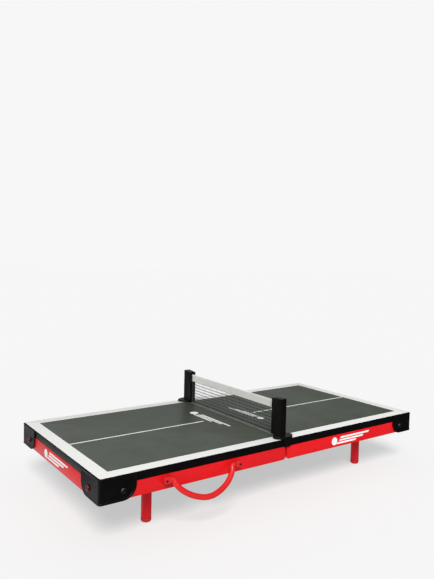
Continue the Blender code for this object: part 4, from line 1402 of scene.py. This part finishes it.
def make_bottom_cord():
    """Three circles in a triangle, drawn along by a screw modifier."""
    low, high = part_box("net_bottom_cord")
    length = high.y - low.y
    take_none()
    circles = []
    for i in range(3):
        turn = math.tau * i / 3
        place = (math.cos(turn) * CORD_STRAND, math.sin(turn) * CORD_STRAND, 0)
        bpy.ops.mesh.primitive_circle_add(vertices=8, radius=CORD_STRAND * CORD_SHARE,
                                          location=place)
        circles.append(bpy.context.object)
    for circle in circles:
        circle.select_set(True)
    bpy.ops.object.join()
    cord = settle()
    steps = CORD_STEPS * round(length / CORD_TWIST)
    apply(cord, "SCREW", angle=math.tau * length / CORD_TWIST, screw_offset=length, steps=steps,
          render_steps=steps, use_merge_vertices=False, use_smooth_shade=True)
    pick(cord, "VERT", lambda v: True)
    bpy.ops.mesh.fill_holes(sides=0)
    bpy.ops.mesh.normals_make_consistent(inside=False)
    start = Matrix.Translation(((low.x + high.x) / 2, low.y, (low.z + high.z) / 2))
    put(cord, start @ Matrix.Rotation(-math.pi / 2, 4, "X"))
    return finish(cord, "twisted_cord", "net_set", black_twine, ["net_bottom_cord"])


cord = make_bottom_cord()
print("cord:", [round(1000 * s, 1) for s in cord.dimensions], "mm")

# %% [markdown]
# ## The printed badge
# The badge is plain: a ball with three speed stripes behind it. Ink is thin, but it
# does stand proud of the film, so the badge is a flat outline extruded by a few
# hundredths of a millimetre. It is drawn once, lying flat, and copied to the two end
# rails, two side rails and both playing panels.

# %% Draw the badge
BADGE_LENGTH = 90 * MM
BALL_RADIUS = 6.2 * MM
STRIPE = 2.7 * MM
STRIPE_PITCH = 1.58 * STRIPE
STRIPE_ENDS = ((9.5 * MM, 78 * MM), (11 * MM, 68 * MM), (9.5 * MM, 54 * MM))  # from the ball
STRIPE_SLANT = 0.9
STRIPE_ROUND = 0.9 * MM
INK_HEIGHT = 0.06 * MM


def make_badge():
    """A ball and three slanted stripes, lying in XY with the ball at the -X end."""
    ball_x = -BADGE_LENGTH / 2 + BALL_RADIUS
    take_none()
    bpy.ops.mesh.primitive_circle_add(vertices=48, radius=BALL_RADIUS, fill_type="NGON",
                                      location=(ball_x, 0, 0))
    shapes = [bpy.context.object]
    for row, (start, end) in enumerate(STRIPE_ENDS):
        place = (ball_x + (start + end) / 2, (1 - row) * STRIPE_PITCH, 0)
        bpy.ops.mesh.primitive_plane_add(size=1, location=place)
        bpy.context.object.scale = (end - start, STRIPE, 1)
        shapes.append(bpy.context.object)
    for shape in shapes:
        shape.select_set(True)
    bpy.ops.object.join()
    badge = settle()
    pick(badge, "VERT", lambda v: v.co.x > ball_x + BALL_RADIUS + 0.5 * MM)
    mesh = bmesh.from_edit_mesh(badge.data)
    for vert in mesh.verts:
        if vert.select:
            vert.co.x += vert.co.y * STRIPE_SLANT
    bmesh.update_edit_mesh(badge.data)
    bpy.ops.mesh.bevel(offset=STRIPE_ROUND, segments=4, affect="VERTICES")
    bpy.ops.mesh.select_all(action="SELECT")
    extrude(0, 0, INK_HEIGHT)
    bpy.ops.mesh.select_all(action="SELECT")
    bpy.ops.mesh.normals_make_consistent(inside=False)
    return take(badge)


badge = make_badge()
print("badge:", [round(1000 * s, 2) for s in badge.dimensions], "mm")

# %% Place the badges
BADGE_X = 142 * MM       # on the long rails, from the seam
BADGE_OFF = 3 * MM       # on the end rails, from their middle
TOP_BADGE_Y = MIDDLE_Y + 5 * MM
rail_z = (RAIL_LOW.z + RAIL_HIGH.z) / 2


def place_badge(name, body, slot, right, at, size=1.0):
    """Copy the badge so that its X runs along right, standing up or lying on the top."""
    right = Vector(right)
    out = Vector((0, 0, 1)) if slot == "playing_panel" else right.cross((0, 0, 1))
    turn = Matrix((right, out.cross(right), out)).transposed().to_4x4()
    stretch = Matrix.Diagonal((size, size, 1, 1))
    copy = put(another(badge), Matrix.Translation(at) @ turn @ stretch)
    return finish(copy, name, body, white_ink)


for side, sx, edge, sy in (("right", 1, "front", -1), ("left", -1, "back", 1)):
    place_badge(f"{side}_{edge}_badge", f"{side}_half", "painted_rail", (sx, 0, 0),
                (sx * BADGE_X, MIDDLE_Y + sy * HALF_WIDTH, rail_z))
for side, sx in SIDES.items():
    place_badge(f"{side}_end_badge", f"{side}_half", "painted_rail", (0, sx, 0),
                (sx * HALF_LENGTH, MIDDLE_Y - sx * BADGE_OFF, rail_z))
for side, sx, x, size in (("left", -1, 37 * MM, 1.15), ("right", 1, 40 * MM, 1.0)):
    place_badge(f"{side}_top_badge", f"{side}_half", "playing_panel", (0, sx, 0),
                (sx * x, TOP_BADGE_Y, SURFACE), size)
bpy.data.objects.remove(badge, do_unlink=True)
print("badges: 6")

# %% [markdown]
# ## Which pieces are cloth
# The tape and the net are the cloth pieces. The tape is a strip folded in two, so it
# was cut twice as wide as it stands.

# %% Cloth
print("cloth pieces: the tape and the net")

# %% [markdown]
# ## Floor and light
# The table stands on a plain white sweep. Most of the light is a large soft box above
# the front left corner, and a dim sky fills the shadows. Half of the floor's
# brightness is its own glow, which keeps the shadow under the table pale.

# %% Floor
BACKDROP = "#f7f7f7"
FLOOR_WHITE = (0.452, 0.412, 0.402, 1)   # a little warm, to cancel what red rails reflect
FLOOR_GLOW = (0.462, 0.500, 0.510, 1)
FLOOR_SIZE = 60
FLOOR_DROP = 0.2 * MM    # under the feet

take_none()
bpy.ops.mesh.primitive_plane_add(size=FLOOR_SIZE, location=(0, 0, -FLOOR_DROP))
floor = bpy.context.object
floor.name = "floor"
paper = bpy.data.materials.new("white paper sweep")
paper.use_nodes = True
shader = paper.node_tree.nodes["Principled BSDF"]
shader.inputs["Base Color"].default_value = FLOOR_WHITE
shader.inputs["Roughness"].default_value = 1.0
shader.inputs["Specular IOR Level"].default_value = 0.0
shader.inputs["Emission Color"].default_value = FLOOR_GLOW
shader.inputs["Emission Strength"].default_value = 1.0
floor.data.materials.append(paper)
floor.visible_glossy = False
print("floor:", FLOOR_SIZE, "m across")

# %% [markdown]
# The world answers each kind of ray in its own way. The camera sees the plain
# backdrop. Matt surfaces see an even sky. Glossy ones see a backdrop that is bright
# behind the table and to its left, dim near the horizon and dark behind the camera, so
# the playing surface and the left end get a sheen and the black front stays black.

# %% Sky and soft box
SKY = 0.36
SOFT_BOX = 3.05
SHEEN_BACK = 0.75
SHEEN_FRONT = 0.02
HORIZON = 0.20           # the backdrop's brightness near the horizon, as a share
LEFTWARD = 0.45          # how far the bright side of the backdrop reaches round to the left
SOFT_BOX_ANGLE = 25      # degrees across, as the table sees it
SOFT_BOX_AIM = Vector((0.40, 0.64, -0.72))

world = bpy.data.worlds.new("soft studio")
bpy.context.scene.world = world
world.use_nodes = True
tree = world.node_tree
tree.nodes.clear()
rays = add_node(tree, "LightPath")
looking = add_node(tree, "TexCoord").outputs["Generated"]
direction = add_node(tree, "SeparateXYZ", {"Vector": looking})
sideways = add_node(tree, "Math", {0: direction.outputs["X"]}, {1: LEFTWARD}, operation="MULTIPLY")
depth = add_node(tree, "Math", {0: direction.outputs["Y"], 1: sideways.outputs[0]},
                 operation="SUBTRACT")
behind = add_node(tree, "MapRange", {"Value": depth.outputs[0]},
                  {"From Min": -0.35, "From Max": 0.75, "To Min": SHEEN_FRONT, "To Max": SHEEN_BACK},
                  interpolation_type="SMOOTHSTEP")
height = add_node(tree, "Math", {0: direction.outputs["Z"]}, operation="ABSOLUTE")
rising = add_node(tree, "MapRange", {"Value": height.outputs[0]},
                  {"From Min": 0.10, "From Max": 0.42, "To Min": HORIZON, "To Max": 1.0})
sheen = add_node(tree, "Math", {0: behind.outputs["Result"], 1: rising.outputs["Result"]},
                 operation="MULTIPLY")
soft = add_node(tree, "Background", values={"Color": (1, 1, 1, 1), "Strength": SKY})
glossy = add_node(tree, "Background", {"Strength": sheen.outputs[0]},
                  {"Color": (1, 1, 1, 1)})
seen = add_node(tree, "Background", values={"Color": linear(BACKDROP), "Strength": 1.0})
unseen = add_node(tree, "MixShader", {0: rays.outputs["Is Glossy Ray"], 1: soft.outputs[0],
                                      2: glossy.outputs[0]})
either = add_node(tree, "MixShader", {0: rays.outputs["Is Camera Ray"], 1: unseen.outputs[0],
                                      2: seen.outputs[0]})
add_node(tree, "OutputWorld", {"Surface": either.outputs[0]})

sun = bpy.data.objects.new("soft_box", bpy.data.lights.new("soft_box", "SUN"))
bpy.context.scene.collection.objects.link(sun)
sun.data.energy = SOFT_BOX
sun.data.angle = math.radians(SOFT_BOX_ANGLE)
sun.rotation_euler = SOFT_BOX_AIM.to_track_quat("-Z", "Y").to_euler()
bpy.context.scene.view_settings.view_transform = "Standard"
print("light: sky", SKY, "and soft box", SOFT_BOX)
